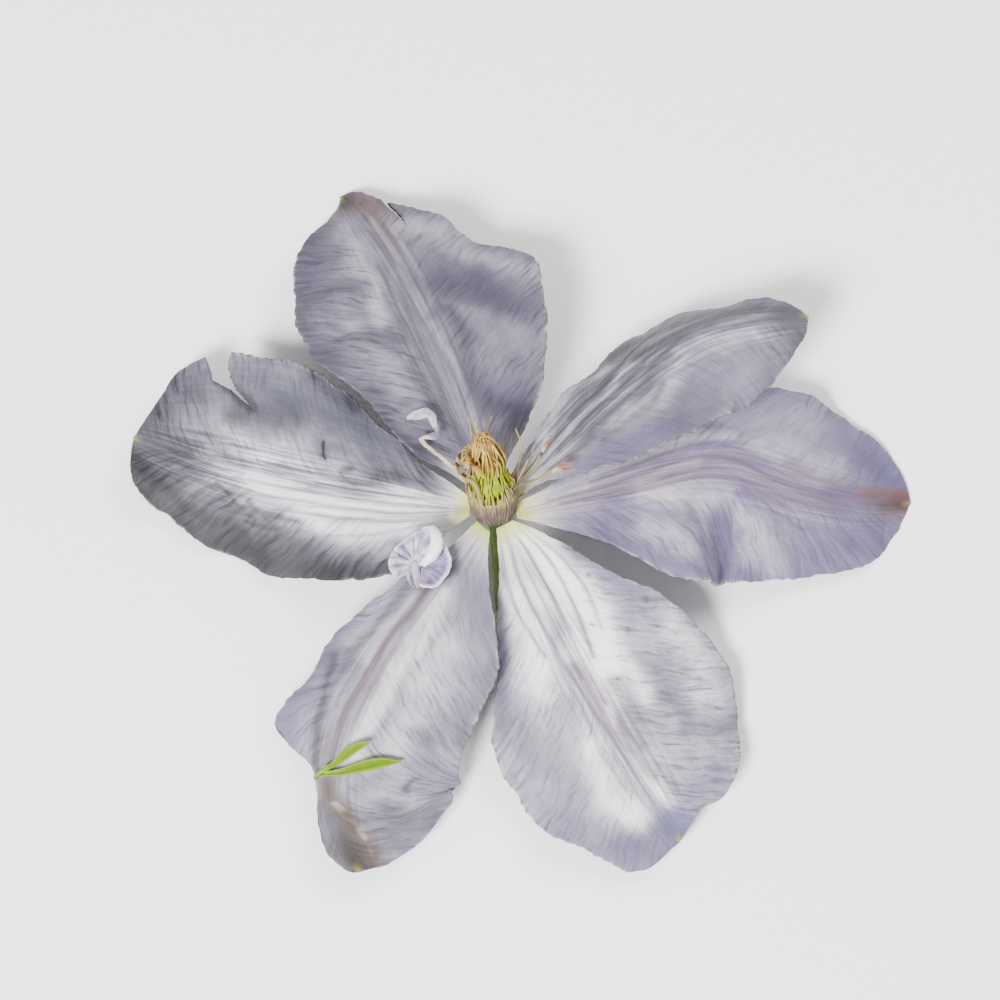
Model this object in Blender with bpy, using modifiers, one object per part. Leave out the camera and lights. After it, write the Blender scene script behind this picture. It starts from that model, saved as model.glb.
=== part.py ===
"""A clematis flower, picked and laid face up on a table.

Six lilac tepals droop from a small receptacle and touch the table with the tip of the right one
and with low spots of three others.
In the middle a cup of filament bases holds green ovaries, whose tan styles lean to the back.
Sizes are in millimetres and angles in degrees until a mesh is made, which is in metres.
+Z is up, and the tepal called "top" points along +Y.
"""

import math
from collections import namedtuple

import bmesh
import bpy
import numpy as np

# ---------------------------------------------------------------- driving dimensions
MM = 0.001                  # one millimetre in Blender's metres
BLADE = 0.6                 # thickness of every leaf-like blade
GAP = 0.35                  # clearance between neighbouring solids
ROOT_RADIUS = 3.9           # where the tepals leave the receptacle
ROOT_HEIGHT = 12.0          # height of that ring over the table
ROOT_TILT = 15.0            # the ring's front edge is tilted up by this much
TEPAL_ROWS = 20             # mesh rows from a tepal's root to its tip
TEPAL_COLUMNS = (0, .1, .27, .46, .65, .83, 1)    # shares of the half width

# The tuft of pistils has an axis of its own, which leans to the back and a little to the left.
TUFT_BASE = np.array([0.2, 0.2, 12.5])
TUFT_LEAN_BACK = 33.0
TUFT_LEAN_LEFT = 5.0
CUP_HEIGHT = 4.6
CUP_RADIUS = 4.5
CUP_FOOT_RADIUS = 3.1
CUP_FILAMENTS = 26          # stubs that make the cup's wall
OVARY_TOP = 7.7             # along the tuft's axis
STYLE_TOP = 16.5
STALK_RADIUS = 1.2


# ---------------------------------------------------------------- smooth curves
def through(points, share):
    """Points of a smooth curve through the given ones; share runs 0 to 1 along their chords."""
    knots = np.asarray(points, float)
    steps = np.linalg.norm(np.diff(knots, axis=0), axis=1)
    place = np.concatenate([[0], np.cumsum(steps)]) / steps.sum()
    width = np.diff(place)
    slope = np.diff(knots, axis=0) / width[:, None]
    inner = (slope[:-1] * width[1:, None] + slope[1:] * width[:-1, None]) / (width[:-1] + width[1:])[:, None]
    tangent = np.concatenate([slope[:1], inner, slope[-1:]])
    share = np.asarray(share, float)
    i = np.clip(np.searchsorted(place, share, side="right") - 1, 0, len(width) - 1)
    f = np.clip((share - place[i]) / width[i], 0, 1)[..., None]
    span = width[i][..., None]
    return ((2 * f**3 - 3 * f**2 + 1) * knots[i] + (f**3 - 2 * f**2 + f) * span * tangent[i]
            + (3 * f**2 - 2 * f**3) * knots[i + 1] + (f**3 - f**2) * span * tangent[i + 1])


def station(values, share):
    """Smooth reading of values that stand at equal steps from share 0 to share 1."""
    values = np.asarray(values, float)
    x = np.clip(share, 0, 1) * (len(values) - 1)
    i = np.clip(np.floor(x).astype(int), 0, len(values) - 2)
    f = x - i
    slope = np.gradient(values)
    return ((2 * f**3 - 3 * f**2 + 1) * values[i] + (f**3 - 2 * f**2 + f) * slope[i]
            + (3 * f**2 - 2 * f**3) * values[i + 1] + (f**3 - f**2) * slope[i + 1])


# ---------------------------------------------------------------- the tepals' shapes
# A side's outline is (along, across) on the blade pressed flat. Its slope is the fall or rise
# away from the midrib, and its curl the extra turn by the time it is `reach` mm out.
Side = namedtuple("Side", "outline slope curl reach")

# heading and pitch give the midrib's direction and climb at equal steps from root to tip.
# A dent is (along, across, half length, half width, height): a soft hump, or a hollow below 0.
# waves is (height, number of waves, phase in turns) of the margin's ruffle.
Tepal = namedtuple("Tepal", "name root length heading pitch left right dents waves")

TEPALS = (
    Tepal(
        "tepal_top", 105, 70.5, (110, 113, 114, 114, 116, 119), (12, 8, -2, -14, -25, -36),
        Side(((0, 1.6), (4.5, 5), (12, 11), (20, 13.2), (28, 16), (35, 19), (41, 19.5), (47, 18.5),
              (54, 16.5), (59, 13.5), (63, 9.5), (65.5, 5.5), (68.5, 2), (70.5, 0)),
             (8, 8, 4, 0, 0, 0), (0, 0, -12, -18, -14, 0), 22),
        Side(((0, 1.6), (4, 5.5), (10.5, 12.8), (18, 18.7), (26.5, 22.5), (35, 25), (40, 24.8),
              (43, 22.5), (47, 17.5), (54, 13.5), (60.5, 9.3), (65, 6), (68.5, 4), (70.3, 2), (70.5, 0)),
             (0, -2, 2, 0, 0, 0), (0, -6, -10, -18, -14, 0), 24),
        ((38, 11, 3.5, 9, -1.0), (46, 9, 3, 8, 0.9), (34, -13, 7, 6, -1.2), (22, -10, 6, 6, 0.8)),
        (0.7, 4.5, 0.1)),
    Tepal(
        "tepal_upper_right", 44, 66, (46, 46, 43, 34, 14, -4), (16, 10, 3, -4, -6, -6),
        Side(((0, 1.5), (5.5, 2.6), (13, 4.2), (22, 6.6), (32, 9.6), (42, 11.2), (50, 10), (57, 6.8),
              (62, 3.8), (65, 1.6), (66, 0)),
             (6, 0, -32, -38, -40, -20), (0, -16, -25, -25, -20, -10), 12),
        Side(((0, 1.5), (5.5, 3.2), (10, 6.3), (16.5, 11), (22.5, 13), (28.5, 15), (37, 16),
              (50, 15.8), (56, 14), (60, 11), (63.5, 7.5), (65.8, 3.5), (66, 0)),
             (6, 6, 3, 0, 0, 0), (0, 0, -8, -12, -14, 0), 18),
        ((30, -8, 8, 4, -0.8), (48, -6, 6, 5, 0.7)),
        (0.5, 5, 0.4)),
    Tepal(
        "tepal_right", -6, 74.2, (14, 15, 12, -12, -4, 7), (2, -1, -7, -15, -21, -16),
        Side(((0, 1.5), (3, 1.6), (8, 3.2), (14, 7), (24, 12.5), (34, 16.5), (42, 18.5), (50, 18.8),
              (56, 18.5), (61, 17), (65, 15), (68, 12.6), (71, 9.5), (73, 6.5), (74, 3.5), (74.2, 0)),
             (-4, -4, -4, 0, 0, 0), (0, 0, -8, -14, -14, 0), 20),
        Side(((0, 1.6), (6, 5), (11, 8.5), (15.5, 12), (19, 15), (22.5, 18), (27, 20), (32, 21),
              (41, 20.5), (49, 18), (56, 15.2), (63, 12.7), (67, 10), (70, 6.8), (72.5, 3.3), (74.2, 0)),
             (4, 4, 2, 0, 0, 0), (0, 0, -8, -14, -14, 0), 20),
        ((38, -14, 6, 7, -1.4), (27, -13, 5, 7, 1.2), (47, -12, 4, 8, 1.0), (40, 2, 5, 5, 0.8)),
        (0.6, 4.5, 0.7)),
    Tepal(
        "tepal_lower_right", -60, 62.5, (-64, -64, -62, -60, -58, -56), (-2, -8, -11, -12, -9, -3),
        Side(((0, 1.6), (4.5, 5.5), (10.5, 9.5), (17, 14), (23, 19), (29.5, 21.5), (36.5, 24),
              (44, 23.3), (51, 20), (57, 16), (60.5, 10), (60, 5.5), (61.5, 2.5), (62.5, 0)),
             (4, 4, 2, 0, 0, 0), (0, 0, -8, -14, -14, 0), 24),
        Side(((0, 1.5), (7, 4.3), (15, 8.5), (24, 13), (29, 17), (35, 19.5), (43, 19.8), (50, 18.2),
              (57.5, 13), (62.5, 10), (63.5, 6.5), (62.8, 2.5), (62.5, 0)),
             (-2, -6, -6, -3, 0, 0), (0, -6, -12, -14, -10, 0), 24),
        ((40, 16, 4, 8, -1.0), (30, 15, 4, 8, 0.8), (46, 0, 12, 2.5, -0.8), (18, 10, 3, 3, -0.8)),
        (0.7, 4, 0.2)),
    Tepal(
        "tepal_lower_left", -118, 69.5, (-131, -130, -123, -113, -84, -48), (0, -6, -10, -9, -7, -4),
        Side(((0, 1.6), (6, 6.5), (13, 14), (20.5, 19.8), (27, 20.5), (34, 21), (41, 21.5), (49, 22.5),
              (55, 22.3), (60, 21.6), (65, 21), (70.8, 19.9), (71.5, 16.7), (72.4, 13.2), (72.6, 10),
              (72.2, 6.5), (71.5, 3.7), (70.4, 1.6), (69.5, 0)),
             (6, 6, 3, 0, 0, 0), (6, 0, -8, -14, -14, 0), 28),
        Side(((0, 1.2), (9, 2.0), (16.5, 4.6), (23, 7.4), (31, 9.0), (39, 9.2), (43, 11.2), (46, 14),
              (48.2, 8.8), (50.2, 4.4), (55, 3), (61, 2.8), (66, 2.4), (68.7, 1.2), (69.5, 0)),
             (0, -8, -14, -8, -30, -10), (0, -10, -20, -10, -130, -60), 14),
        ((30, 14, 5, 8, -0.9), (41, 15, 4, 8, 0.9), (52, 12, 5, 8, -0.6)),
        (0.35, 4.5, 0.55)),
    Tepal(
        "tepal_left", 176, 62.8, (175, 171, 168, 164, 160, 157), (-3, -5, -6, -7, -6, -4),
        Side(((0, 1.5), (2.5, 3.8), (5, 7.5), (9, 12), (15, 14.5), (26, 16.3), (34, 17), (43, 15.2),
              (50, 12.3), (55, 10.5), (58.5, 8.5), (61, 5.5), (62.4, 2), (62.8, 0)),
             (6, 4, 0, -6, -8, -8), (0, -15, -40, -50, -44, -20), 18),
        Side(((0, 1.5), (5, 4.5), (9, 7), (18, 13), (25, 17.5), (31.5, 20.7), (38, 22), (46, 21.8),
              (52, 21.2), (56.5, 19.2), (59.5, 16.8), (61, 14.3), (61.8, 9), (62.4, 4), (62.8, 0)),
             (-4, -4, -3, 0, 0, 0), (0, 0, 0, 4, 4, 0), 22),
        ((52, -4, 5, 4, -1.0), (42, -13, 6, 5, 0.7), (20, 6, 8, 4, 0.6)),
        (0.6, 5, 0.3)),
)


def midrib(tepal):
    """The midrib's points and unit directions at 400 equal steps, in mm."""
    share = np.linspace(0, 1, 400)
    heading = np.radians(station(tepal.heading, share))
    pitch = np.radians(station(tepal.pitch, share))
    ahead = np.stack([np.cos(pitch) * np.cos(heading), np.cos(pitch) * np.sin(heading), np.sin(pitch)], 1)
    steps = (ahead[1:] + ahead[:-1]) / 2 * tepal.length / (len(share) - 1)
    root = math.radians(tepal.root)
    start = np.array([ROOT_RADIUS * math.cos(root), ROOT_RADIUS * math.sin(root),
                      ROOT_HEIGHT - ROOT_RADIUS * math.sin(root) * math.sin(math.radians(ROOT_TILT))])
    return share, start + np.concatenate([np.zeros((1, 3)), np.cumsum(steps, axis=0)]), ahead, heading


def blade(tepal, along, across, reach_share):
    """Bends the flat blade: each cross-section is an arc that leaves the midrib at its side's slope.

    across is positive on the left. reach_share is 0 on the midrib and 1 or -1 on the margins.
    """
    place, line, ahead, heading = midrib(tepal)
    share = np.clip(along / tepal.length, 0, 1)
    origin = np.stack([np.interp(share, place, line[:, k]) for k in range(3)], -1)
    forward = np.stack([np.interp(share, place, ahead[:, k]) for k in range(3)], -1)
    turn = np.interp(share, place, heading)
    aside = np.stack([-np.sin(turn), np.cos(turn), np.zeros_like(turn)], -1)
    up = np.cross(forward, aside)
    is_left = across >= 0
    slope = np.radians(np.where(is_left, station(tepal.left.slope, share), station(tepal.right.slope, share)))
    curl = np.radians(np.where(is_left, station(tepal.left.curl, share), station(tepal.right.curl, share)))
    out = np.abs(across)
    curl = curl * out / np.where(is_left, tepal.left.reach, tepal.right.reach)
    chord = out * np.sinc(curl / 2 / np.pi)
    sideways = np.sign(across) * chord * np.cos(slope + curl / 2)
    rise = chord * np.sin(slope + curl / 2)
    tilt = (slope + curl) * np.where(is_left, 1, -1)
    normal = up * np.cos(tilt)[..., None] - aside * np.sin(tilt)[..., None]
    beyond = along - share * tepal.length
    flat = origin + aside * sideways[..., None] + up * rise[..., None] + forward * beyond[..., None]
    height, number, phase = tepal.waves
    relief = -0.5 * np.exp(-(across / 1.5) ** 2) * (1 - share)
    relief = relief + height * np.abs(reach_share) ** 3 * np.sin(
        2 * np.pi * (number * share + phase + 0.3 * np.sign(reach_share)))
    for mid_along, mid_across, half_length, half_width, depth in tepal.dents:
        relief = relief + depth * np.exp(-((along - mid_along) / half_length) ** 2
                                         - ((across - mid_across) / half_width) ** 2)
    point = flat + normal * relief[..., None]
    point[..., 2] = np.maximum(point[..., 2], BLADE / 2)    # the table flattens what touches it
    return point


def tepal_point(tepal, u, v):
    """u runs 0 to 1 from root to tip, v -1 to 1 from the right margin to the left one."""
    columns = np.interp(np.abs(v), np.linspace(0, 1, len(TEPAL_COLUMNS)), TEPAL_COLUMNS)
    margin = np.where((v >= 0)[..., None], through(tepal.left.outline, u), through(tepal.right.outline, u))
    along = tepal.length * u + columns * (margin[..., 0] - tepal.length * u)
    across = np.sign(v) * columns * margin[..., 1]
    return blade(tepal, along, across, np.sign(v) * columns)


# ---------------------------------------------------------------- mesh helpers
def clear_scene():
    for old in list(bpy.data.objects):
        bpy.data.objects.remove(old, do_unlink=True)


def new_collection(name, hidden=False):
    made = bpy.data.collections.new(name)
    bpy.context.scene.collection.children.link(made)
    made.hide_render = hidden
    return made


def material(name, color, roughness):
    made = bpy.data.materials.new(name)
    made.use_nodes = True
    shader = made.node_tree.nodes["Principled BSDF"]
    shader.inputs["Base Color"].default_value = (*color, 1)
    shader.inputs["Roughness"].default_value = roughness
    made.diffuse_color = (*color, 1)
    return made


def surface(name, shape, rows, columns, finish, collection, flip=False):
    """A grid whose points shape(u, v) places, with u and v from 0 to 1; points that meet are merged."""
    mesh = bpy.data.meshes.new(name)
    sheet = bmesh.new()
    bmesh.ops.create_grid(sheet, x_segments=rows, y_segments=columns, size=0.5)
    flat = np.array([vert.co[:2] for vert in sheet.verts]) + 0.5
    for vert, point in zip(sheet.verts, shape(flat[:, 0], flat[:, 1]) * MM):
        vert.co = point
    bmesh.ops.remove_doubles(sheet, verts=sheet.verts, dist=1e-6)
    bmesh.ops.triangulate(sheet, faces=sheet.faces)
    if flip:
        bmesh.ops.recalc_face_normals(sheet, faces=sheet.faces)
    sheet.to_mesh(mesh)
    sheet.free()
    mesh.shade_smooth()
    mesh.materials.append(finish)
    made = bpy.data.objects.new(name, mesh)
    collection.objects.link(made)
    return made


def thicken(piece, thickness=BLADE):
    """Gives an open sheet its thickness, half on each side, with alike triangles on both faces."""
    shell = piece.modifiers.new("Thickness", "SOLIDIFY")
    shell.thickness = thickness * MM
    shell.offset = 0
    shell.use_rim = True


def tube(name, path, radii, finish, collection, sides=6, rings=8):
    """A round strand along a smooth path, closed by a point at each end."""
    ends = 0.02
    share = np.concatenate([[0], np.linspace(ends, 1 - ends, rings), [1]])
    centre = through(path, share)
    ahead = np.gradient(centre, axis=0)
    ahead /= np.linalg.norm(ahead, axis=1)[:, None]
    side = np.cross(ahead, np.array([0.31, 0.17, 0.93]))
    side /= np.linalg.norm(side, axis=1)[:, None]
    other = np.cross(ahead, side)
    radius = np.interp(share, np.linspace(0, 1, len(radii)), radii)
    radius[[0, -1]] = 0

    def shape(u, v):
        row = np.rint(u * (len(share) - 1)).astype(int)
        angle = 2 * np.pi * v
        return (centre[row] + radius[row][:, None] * (np.cos(angle)[:, None] * side[row]
                                                      + np.sin(angle)[:, None] * other[row]))

    return surface(name, shape, len(share) - 1, sides, finish, collection, flip=True)


def combine(body, others, operation):
    """One exact Boolean of body with all pieces in a collection, which is then removed."""
    change = body.modifiers.new("Combine", "BOOLEAN")
    change.operation = operation
    change.operand_type = "COLLECTION"
    change.collection = others
    change.solver = "EXACT"
    bpy.context.view_layer.update()
    graph = bpy.context.evaluated_depsgraph_get()
    changed = bpy.data.meshes.new_from_object(body.evaluated_get(graph), depsgraph=graph)
    body.modifiers.clear()
    body.data = changed
    for other in list(others.objects):
        bpy.data.objects.remove(other, do_unlink=True)
    bpy.data.collections.remove(others)


def union(body, extras):
    combine(body, extras, "UNION")


# ---------------------------------------------------------------- the tuft's own axes
def tuft_axes():
    back, left = math.radians(TUFT_LEAN_BACK), math.radians(TUFT_LEAN_LEFT)
    axis = np.array([-math.sin(left), math.sin(back) * math.cos(left), math.cos(back) * math.cos(left)])
    across = np.cross([0.0, 1.0, 0.0], axis)
    across /= np.linalg.norm(across)
    return across, np.cross(axis, across), axis


def tuft_point(radius, angle, height):
    """A place given round the tuft's axis; angle is in radians from +X."""
    across, behind, axis = tuft_axes()
    radius, angle, height = np.broadcast_arrays(radius, angle, height)
    return (TUFT_BASE + (radius * np.cos(angle))[..., None] * across
            + (radius * np.sin(angle))[..., None] * behind + height[..., None] * axis)


# ---------------------------------------------------------------- stalk and cup
STALK_PATH = ((0.1, 0.3, 11.0), (0.0, 0.0, 8.8), (0.3, -1.6, 6.0), (0.8, -5.5, 3.6), (1.3, -11.0, 2.6),
              (1.6, -17.0, 2.4))
RECEPTACLE = ((0, 9.2), (1.6, 9.4), (2.9, 10.2), (3.35, 11.2))     # radius, height
RECEPTACLE_TOP = ((3.0, -0.6), (2.4, -GAP), (0, -GAP))             # radius, place on the tuft's axis


def stalk(finish, collection):
    """The round receptacle with the cut stalk below it, which bends forward and clear of the table."""
    rings = len(RECEPTACLE) + len(RECEPTACLE_TOP)

    def shape(u, v):
        number = np.rint(u * (rings - 1)).astype(int)
        radius, place = np.array(RECEPTACLE + RECEPTACLE_TOP)[number].T
        angle = 2 * np.pi * v
        tilt = radius * np.sin(angle) * math.sin(math.radians(ROOT_TILT))
        low = np.stack([radius * np.cos(angle), radius * np.sin(angle), place - tilt], 1)
        return np.where((number < len(RECEPTACLE))[:, None], low, tuft_point(radius, angle, place))

    body = surface("pedicel", shape, rings - 1, 20, finish, collection, flip=True)
    extras = new_collection("stalk joins", hidden=True)
    tube("stalk", STALK_PATH, (STALK_RADIUS, STALK_RADIUS), finish, extras, sides=10, rings=14)
    union(body, extras)
    return body


CUP_PROFILE = ((0, 0), (2.2, 0.02), (CUP_FOOT_RADIUS, 0.5), (4.1, 1.9), (CUP_RADIUS, 3.3),
               (CUP_RADIUS, CUP_HEIGHT), (CUP_RADIUS - 0.7, CUP_HEIGHT), (3.5, 3.2), (2.8, 2.4), (0, 2.3))

# A standing filament: the angle of its root on the cup, in degrees, then its way in mm.
FILAMENTS = (
    (118, ((-3.0, 7.6, 15.6), (-3.6, 10.8, 17.0), (-4.3, 14.4, 18.8)), (0.5, 0.6, 0.35, 0.2)),
    (60, ((1.9, 8.4, 16.4), (2.4, 10.2, 18.4)), (0.3, 0.3, 0.2)),
    (20, ((4.6, 6.6, 16.8), (4.9, 9.0, 18.8), (3.9, 11.4, 20.8)), (0.35, 0.35, 0.3, 0.2)),
    (-5, ((6.4, 4.8, 17.1), (8.2, 7.6, 17.6)), (0.4, 0.4, 0.35)),
    (2, ((4.9, 4.2, 17.6), (6.0, 6.4, 18.6)), (0.35, 0.3, 0.25)),
    (-22, ((6.6, 3.0, 17.2), (8.2, 3.7, 16.9), (9.8, 4.6, 16.6)), (0.5, 0.5, 0.45, 0.35)),
)


def cup(finish, collection):
    """A ribbed bowl of pressed filament bases with a ragged rim, and the filaments that still stand."""
    def shape(u, v):
        ring = np.array(CUP_PROFILE)[np.rint(u * (len(CUP_PROFILE) - 1)).astype(int)]
        angle = 2 * np.pi * v
        rib = 0.14 * np.cos(CUP_FILAMENTS * angle) * (ring[:, 0] > CUP_FOOT_RADIUS + 0.1)
        ragged = (0.35 * np.sin(5 * angle + 1) + 0.3 * np.sin(11 * angle)) * (ring[:, 1] > CUP_HEIGHT - 0.1)
        return tuft_point(ring[:, 0] + rib, angle, ring[:, 1] + ragged)

    rows = len(CUP_PROFILE) - 1
    body = surface("filament_cup", shape, rows, 2 * CUP_FILAMENTS, finish, collection, flip=True)
    extras = new_collection("cup joins", hidden=True)
    for number, (angle, way, radii) in enumerate(FILAMENTS):
        root = math.radians(angle)
        path = np.concatenate([tuft_point(4.1, root, 2.6)[None], tuft_point(4.15, root, 4.4)[None], way])
        tube(f"filament {number}", path, radii, finish, extras, sides=6, rings=7)
    arch = [tuft_point(r, math.radians(a), h) for r, a, h in
            ((4.1, 186, 2.6), (4.4, 190, 5.6), (4.3, 206, 7.4), (3.9, 226, 7.2), (3.9, 240, 5.2),
             (4.1, 246, 2.8))]
    tube("looped filament", arch, (0.45, 0.55, 0.45), finish, extras, sides=6, rings=12)
    union(body, extras)
    return body


# ---------------------------------------------------------------- pistils
def ovaries(finish, collection):
    """Plump green ovaries in two rings round a core, splayed a little at their feet."""
    body = tube("ovaries", [tuft_point(0, 0, h) for h in (2.75, 4, 6, 7.5)], (1.5, 1.9, 1.7, 1.0),
                finish, collection, sides=10, rings=5)
    extras = new_collection("ovary joins", hidden=True)
    for count, radius, turn in ((11, 2.0, 0.0), (5, 0.95, 0.4)):
        for k in range(count):
            angle = 2 * np.pi * (k + turn) / count
            path = [tuft_point(radius * spread, angle, h) for spread, h in
                    ((1.25, 2.85), (1.12, 4.2), (1.0, 6.0), (0.82, OVARY_TOP))]
            tube(f"ovary {count} {k}", path, (0.3, 0.62, 0.6, 0.25), finish, extras, sides=6, rings=4)
    union(body, extras)
    return body


def styles(finish, collection):
    """Tan styles that stand on the ovaries, close up towards the top and bend to the left there."""
    foot = OVARY_TOP + GAP
    bend = np.array([-1.0, 0.5, 0.4])
    body = tube("styles", [tuft_point(0, 0, h) for h in (foot, 10, 12.5, STYLE_TOP - 1.5)],
                (1.7, 1.9, 1.2, 0.4), finish, collection, sides=9, rings=6)
    extras = new_collection("style joins", hidden=True)
    draw = np.random.default_rng(7)
    for count, radius in ((13, 2.15), (8, 1.35), (4, 0.5)):
        for k in range(count):
            angle = 2 * np.pi * (k + 0.5 * draw.random()) / count
            top = STYLE_TOP - 2.2 * draw.random() - 0.5 * radius
            sway = 0.5 * (draw.random() - 0.5)
            path = [tuft_point(radius, angle, foot + 0.1), tuft_point(1.08 * radius, angle + 0.4 * sway, 10),
                    tuft_point(0.72 * radius, angle + sway, 12.6),
                    tuft_point(0.4 * radius, angle + 2 * sway, 14.4),
                    tuft_point(0.3 * radius, angle, top) + bend * (0.5 + 0.6 * draw.random())]
            tube(f"style {count} {k}", path, (0.34, 0.34, 0.3, 0.14), finish, extras, sides=5, rings=4)
    union(body, extras)
    return body


ANTHERS = (
    ("anther_upper", ((8.5, 8.15, 17.75), (9.4, 9.6, 18.2), (10.1, 11.0, 18.6)), (0.4, 0.42, 0.25)),
    ("anther_right", ((10.2, 4.85, 16.6), (11.8, 5.9, 16.9), (14.0, 6.6, 17.0)), (0.4, 0.5, 0.3)),
)


# ---------------------------------------------------------------- small blades
def ribbon(name, path, half_widths, curl, facing, finish, collection, rows=10, columns=4, ruffle=0.0):
    """A narrow blade along a path; curl is the turn of its whole cross-section, in degrees."""
    def shape(u, v):
        centre = through(path, u)
        ahead = through(path, np.clip(u + 0.02, 0, 1)) - through(path, np.clip(u - 0.02, 0, 1))
        ahead /= np.linalg.norm(ahead, axis=1)[:, None]
        side = np.cross(facing, ahead)
        side /= np.linalg.norm(side, axis=1)[:, None]
        up = np.cross(ahead, side)
        across = (2 * v - 1) * station(half_widths, u)
        turn = math.radians(curl) / 2 * np.abs(2 * v - 1)
        chord = across * np.sinc(turn / 2 / np.pi)
        rise = np.abs(chord) * np.sin(turn / 2) + ruffle * (2 * v - 1) ** 2 * np.sin(
            2 * np.pi * (3 * u + 0.2 * np.sign(v - 0.5)))
        return centre + side * (chord * np.cos(turn / 2))[:, None] + up * rise[:, None]

    piece = surface(name, shape, rows, columns, finish, collection)
    thicken(piece)
    return piece


LEAN_UP = np.array([0.0, -0.34, 0.94])

SPECKLED_PATH = ((-4.3, 4.3, 16.3), (-4.6, 5.4, 17.1), (-4.3, 6.6, 17.5), (-3.5, 7.7, 17.7))
SPECKLED_WIDTHS = (0.9, 2.0, 2.4, 2.1, 0.8)

KINK_STRIP = ((-5.1, 4.3, 14.8), (-6.7, 6.0, 15.0), (-9.3, 8.3, 15.4), (-12.3, 11.0, 16.0),
              (-12.4, 12.1, 16.6))
KINK_BLADE = ((-12.6, 11.4, 16.4), (-11.2, 11.8, 16.5), (-10.3, 13.0, 16.4), (-10.7, 15.1, 16.2),
              (-11.9, 16.0, 16.4), (-13.5, 15.8, 16.5), (-15.1, 15.0, 16.5))


def petaloid_stamen(finish, collection):
    """A stamen that has turned into a thin white blade, sharply kinked halfway."""
    body = ribbon("petaloid_stamen", KINK_STRIP, (0.45, 0.4, 0.4, 0.5), 20, LEAN_UP, finish,
                  collection, rows=10, columns=2)
    extras = new_collection("petaloid joins", hidden=True)
    ribbon("kinked half", KINK_BLADE, (0.5, 0.8, 0.6, 0.9, 0.9, 0.25), -40, LEAN_UP, finish, extras,
           rows=14)
    union(body, extras)
    return body


# The curled blade is two fans round one foot. Each column of a fan has an angle, a length, and
# heights at its foot, halfway and at its margin.
CURL_FOOT = (-13.4, -13.2, 13.1)
CURL_RUFFLE = ((172, 150, 128, 108, 86, 66, 48, 38), (4.6, 5.7, 6.2, 7.2, 8.6, 8.6, 7.0, 5.2),
               (0.0, 0.1, 0.1, 0.2, 0.2, 0.9, 1.2, 0.8), (0.1, 0.8, 0.2, 0.9, 0.2, 2.2, 2.5, 1.0),
               (0.4, 1.5, 0.5, 1.6, 1.0, 2.6, 2.9, 1.2))
CURL_LOBE = ((62, 46, 34, 20, 6, -14, -34), (5.4, 7.3, 7.8, 6.8, 5.4, 3.9, 2.7),
             (0.4, 0.4, 0.4, 0.4, 0.4, 0.4, 0.4), (0.3, 0.1, 0.1, 0.1, 0.2, 0.2, 0.2),
             (0.6, 1.2, 1.9, 2.1, 1.9, 1.6, 1.1))


def fan(name, columns, finish, collection, rows=6, steps=16):
    angles, lengths, foot, halfway, margin = columns

    def shape(u, v):
        angle = np.radians(station(angles, u))
        out = 0.7 + v * (station(lengths, u) - 0.7)
        low, middle, high = station(foot, u), station(halfway, u), station(margin, u)
        rise = low * (1 - v) * (1 - 2 * v) + middle * 4 * v * (1 - v) + high * v * (2 * v - 1)
        level = (out * np.sin(angle) - 0.34 * rise) / 0.94
        return np.array(CURL_FOOT) + np.stack([out * np.cos(angle), level, rise], 1)

    piece = surface(name, shape, steps, rows, finish, collection)
    thicken(piece)
    return piece


def curled_petaloid(finish, collection):
    """A small petal-like blade rolled up on itself: ruffled on the left, a cupped lobe on the right."""
    body = fan("curled_petaloid", CURL_RUFFLE, finish, collection)
    extras = new_collection("curl joins", hidden=True)
    fan("curl lobe", CURL_LOBE, finish, extras)
    foot = np.array(CURL_FOOT)
    tail = [foot + step for step in
            ((0.9, 0.9, 0.5), (0.1, 0.1, 0.5), (-0.9, -0.7, 0.3), (-0.6, -1.9, 0.2))]
    tube("curl tail", tail, (0.7, 1.15, 0.7, 0.3), finish, extras, sides=8, rings=7)
    union(body, extras)
    return body


def over_blade(tepal, along, across, height):
    """A place the given height over a tepal's middle surface."""
    share = across / 20
    here = blade(tepal, along, across, share)
    lengthwise = blade(tepal, along + 0.2, across, share) - here
    crosswise = blade(tepal, along, across + 0.2, share) - here
    normal = np.cross(lengthwise, crosswise)
    return here + normal / np.linalg.norm(normal, axis=1)[:, None] * height[:, None]


# The sprig lies on the lower left tepal. Each leaflet is a line of (along, across) on that tepal,
# its foot's height over the tepal's middle surface, and half widths.
SPRIG_LEAFLETS = (
    ("leaf_sprig", ((51.9, -1.6), (51.2, 2.2), (49.3, 6.0), (47.2, 9.2), (45.6, 12.0)),
     1.0, (0.4, 0.6, 0.9, 1.15, 1.0, 0.3)),
    ("upper leaflet", ((51.2, -0.8), (49.8, 1.0), (46.8, 3.2), (44.0, 5.8)), 1.3, (0.4, 0.5, 0.8, 0.7, 0.3)),
)


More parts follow.
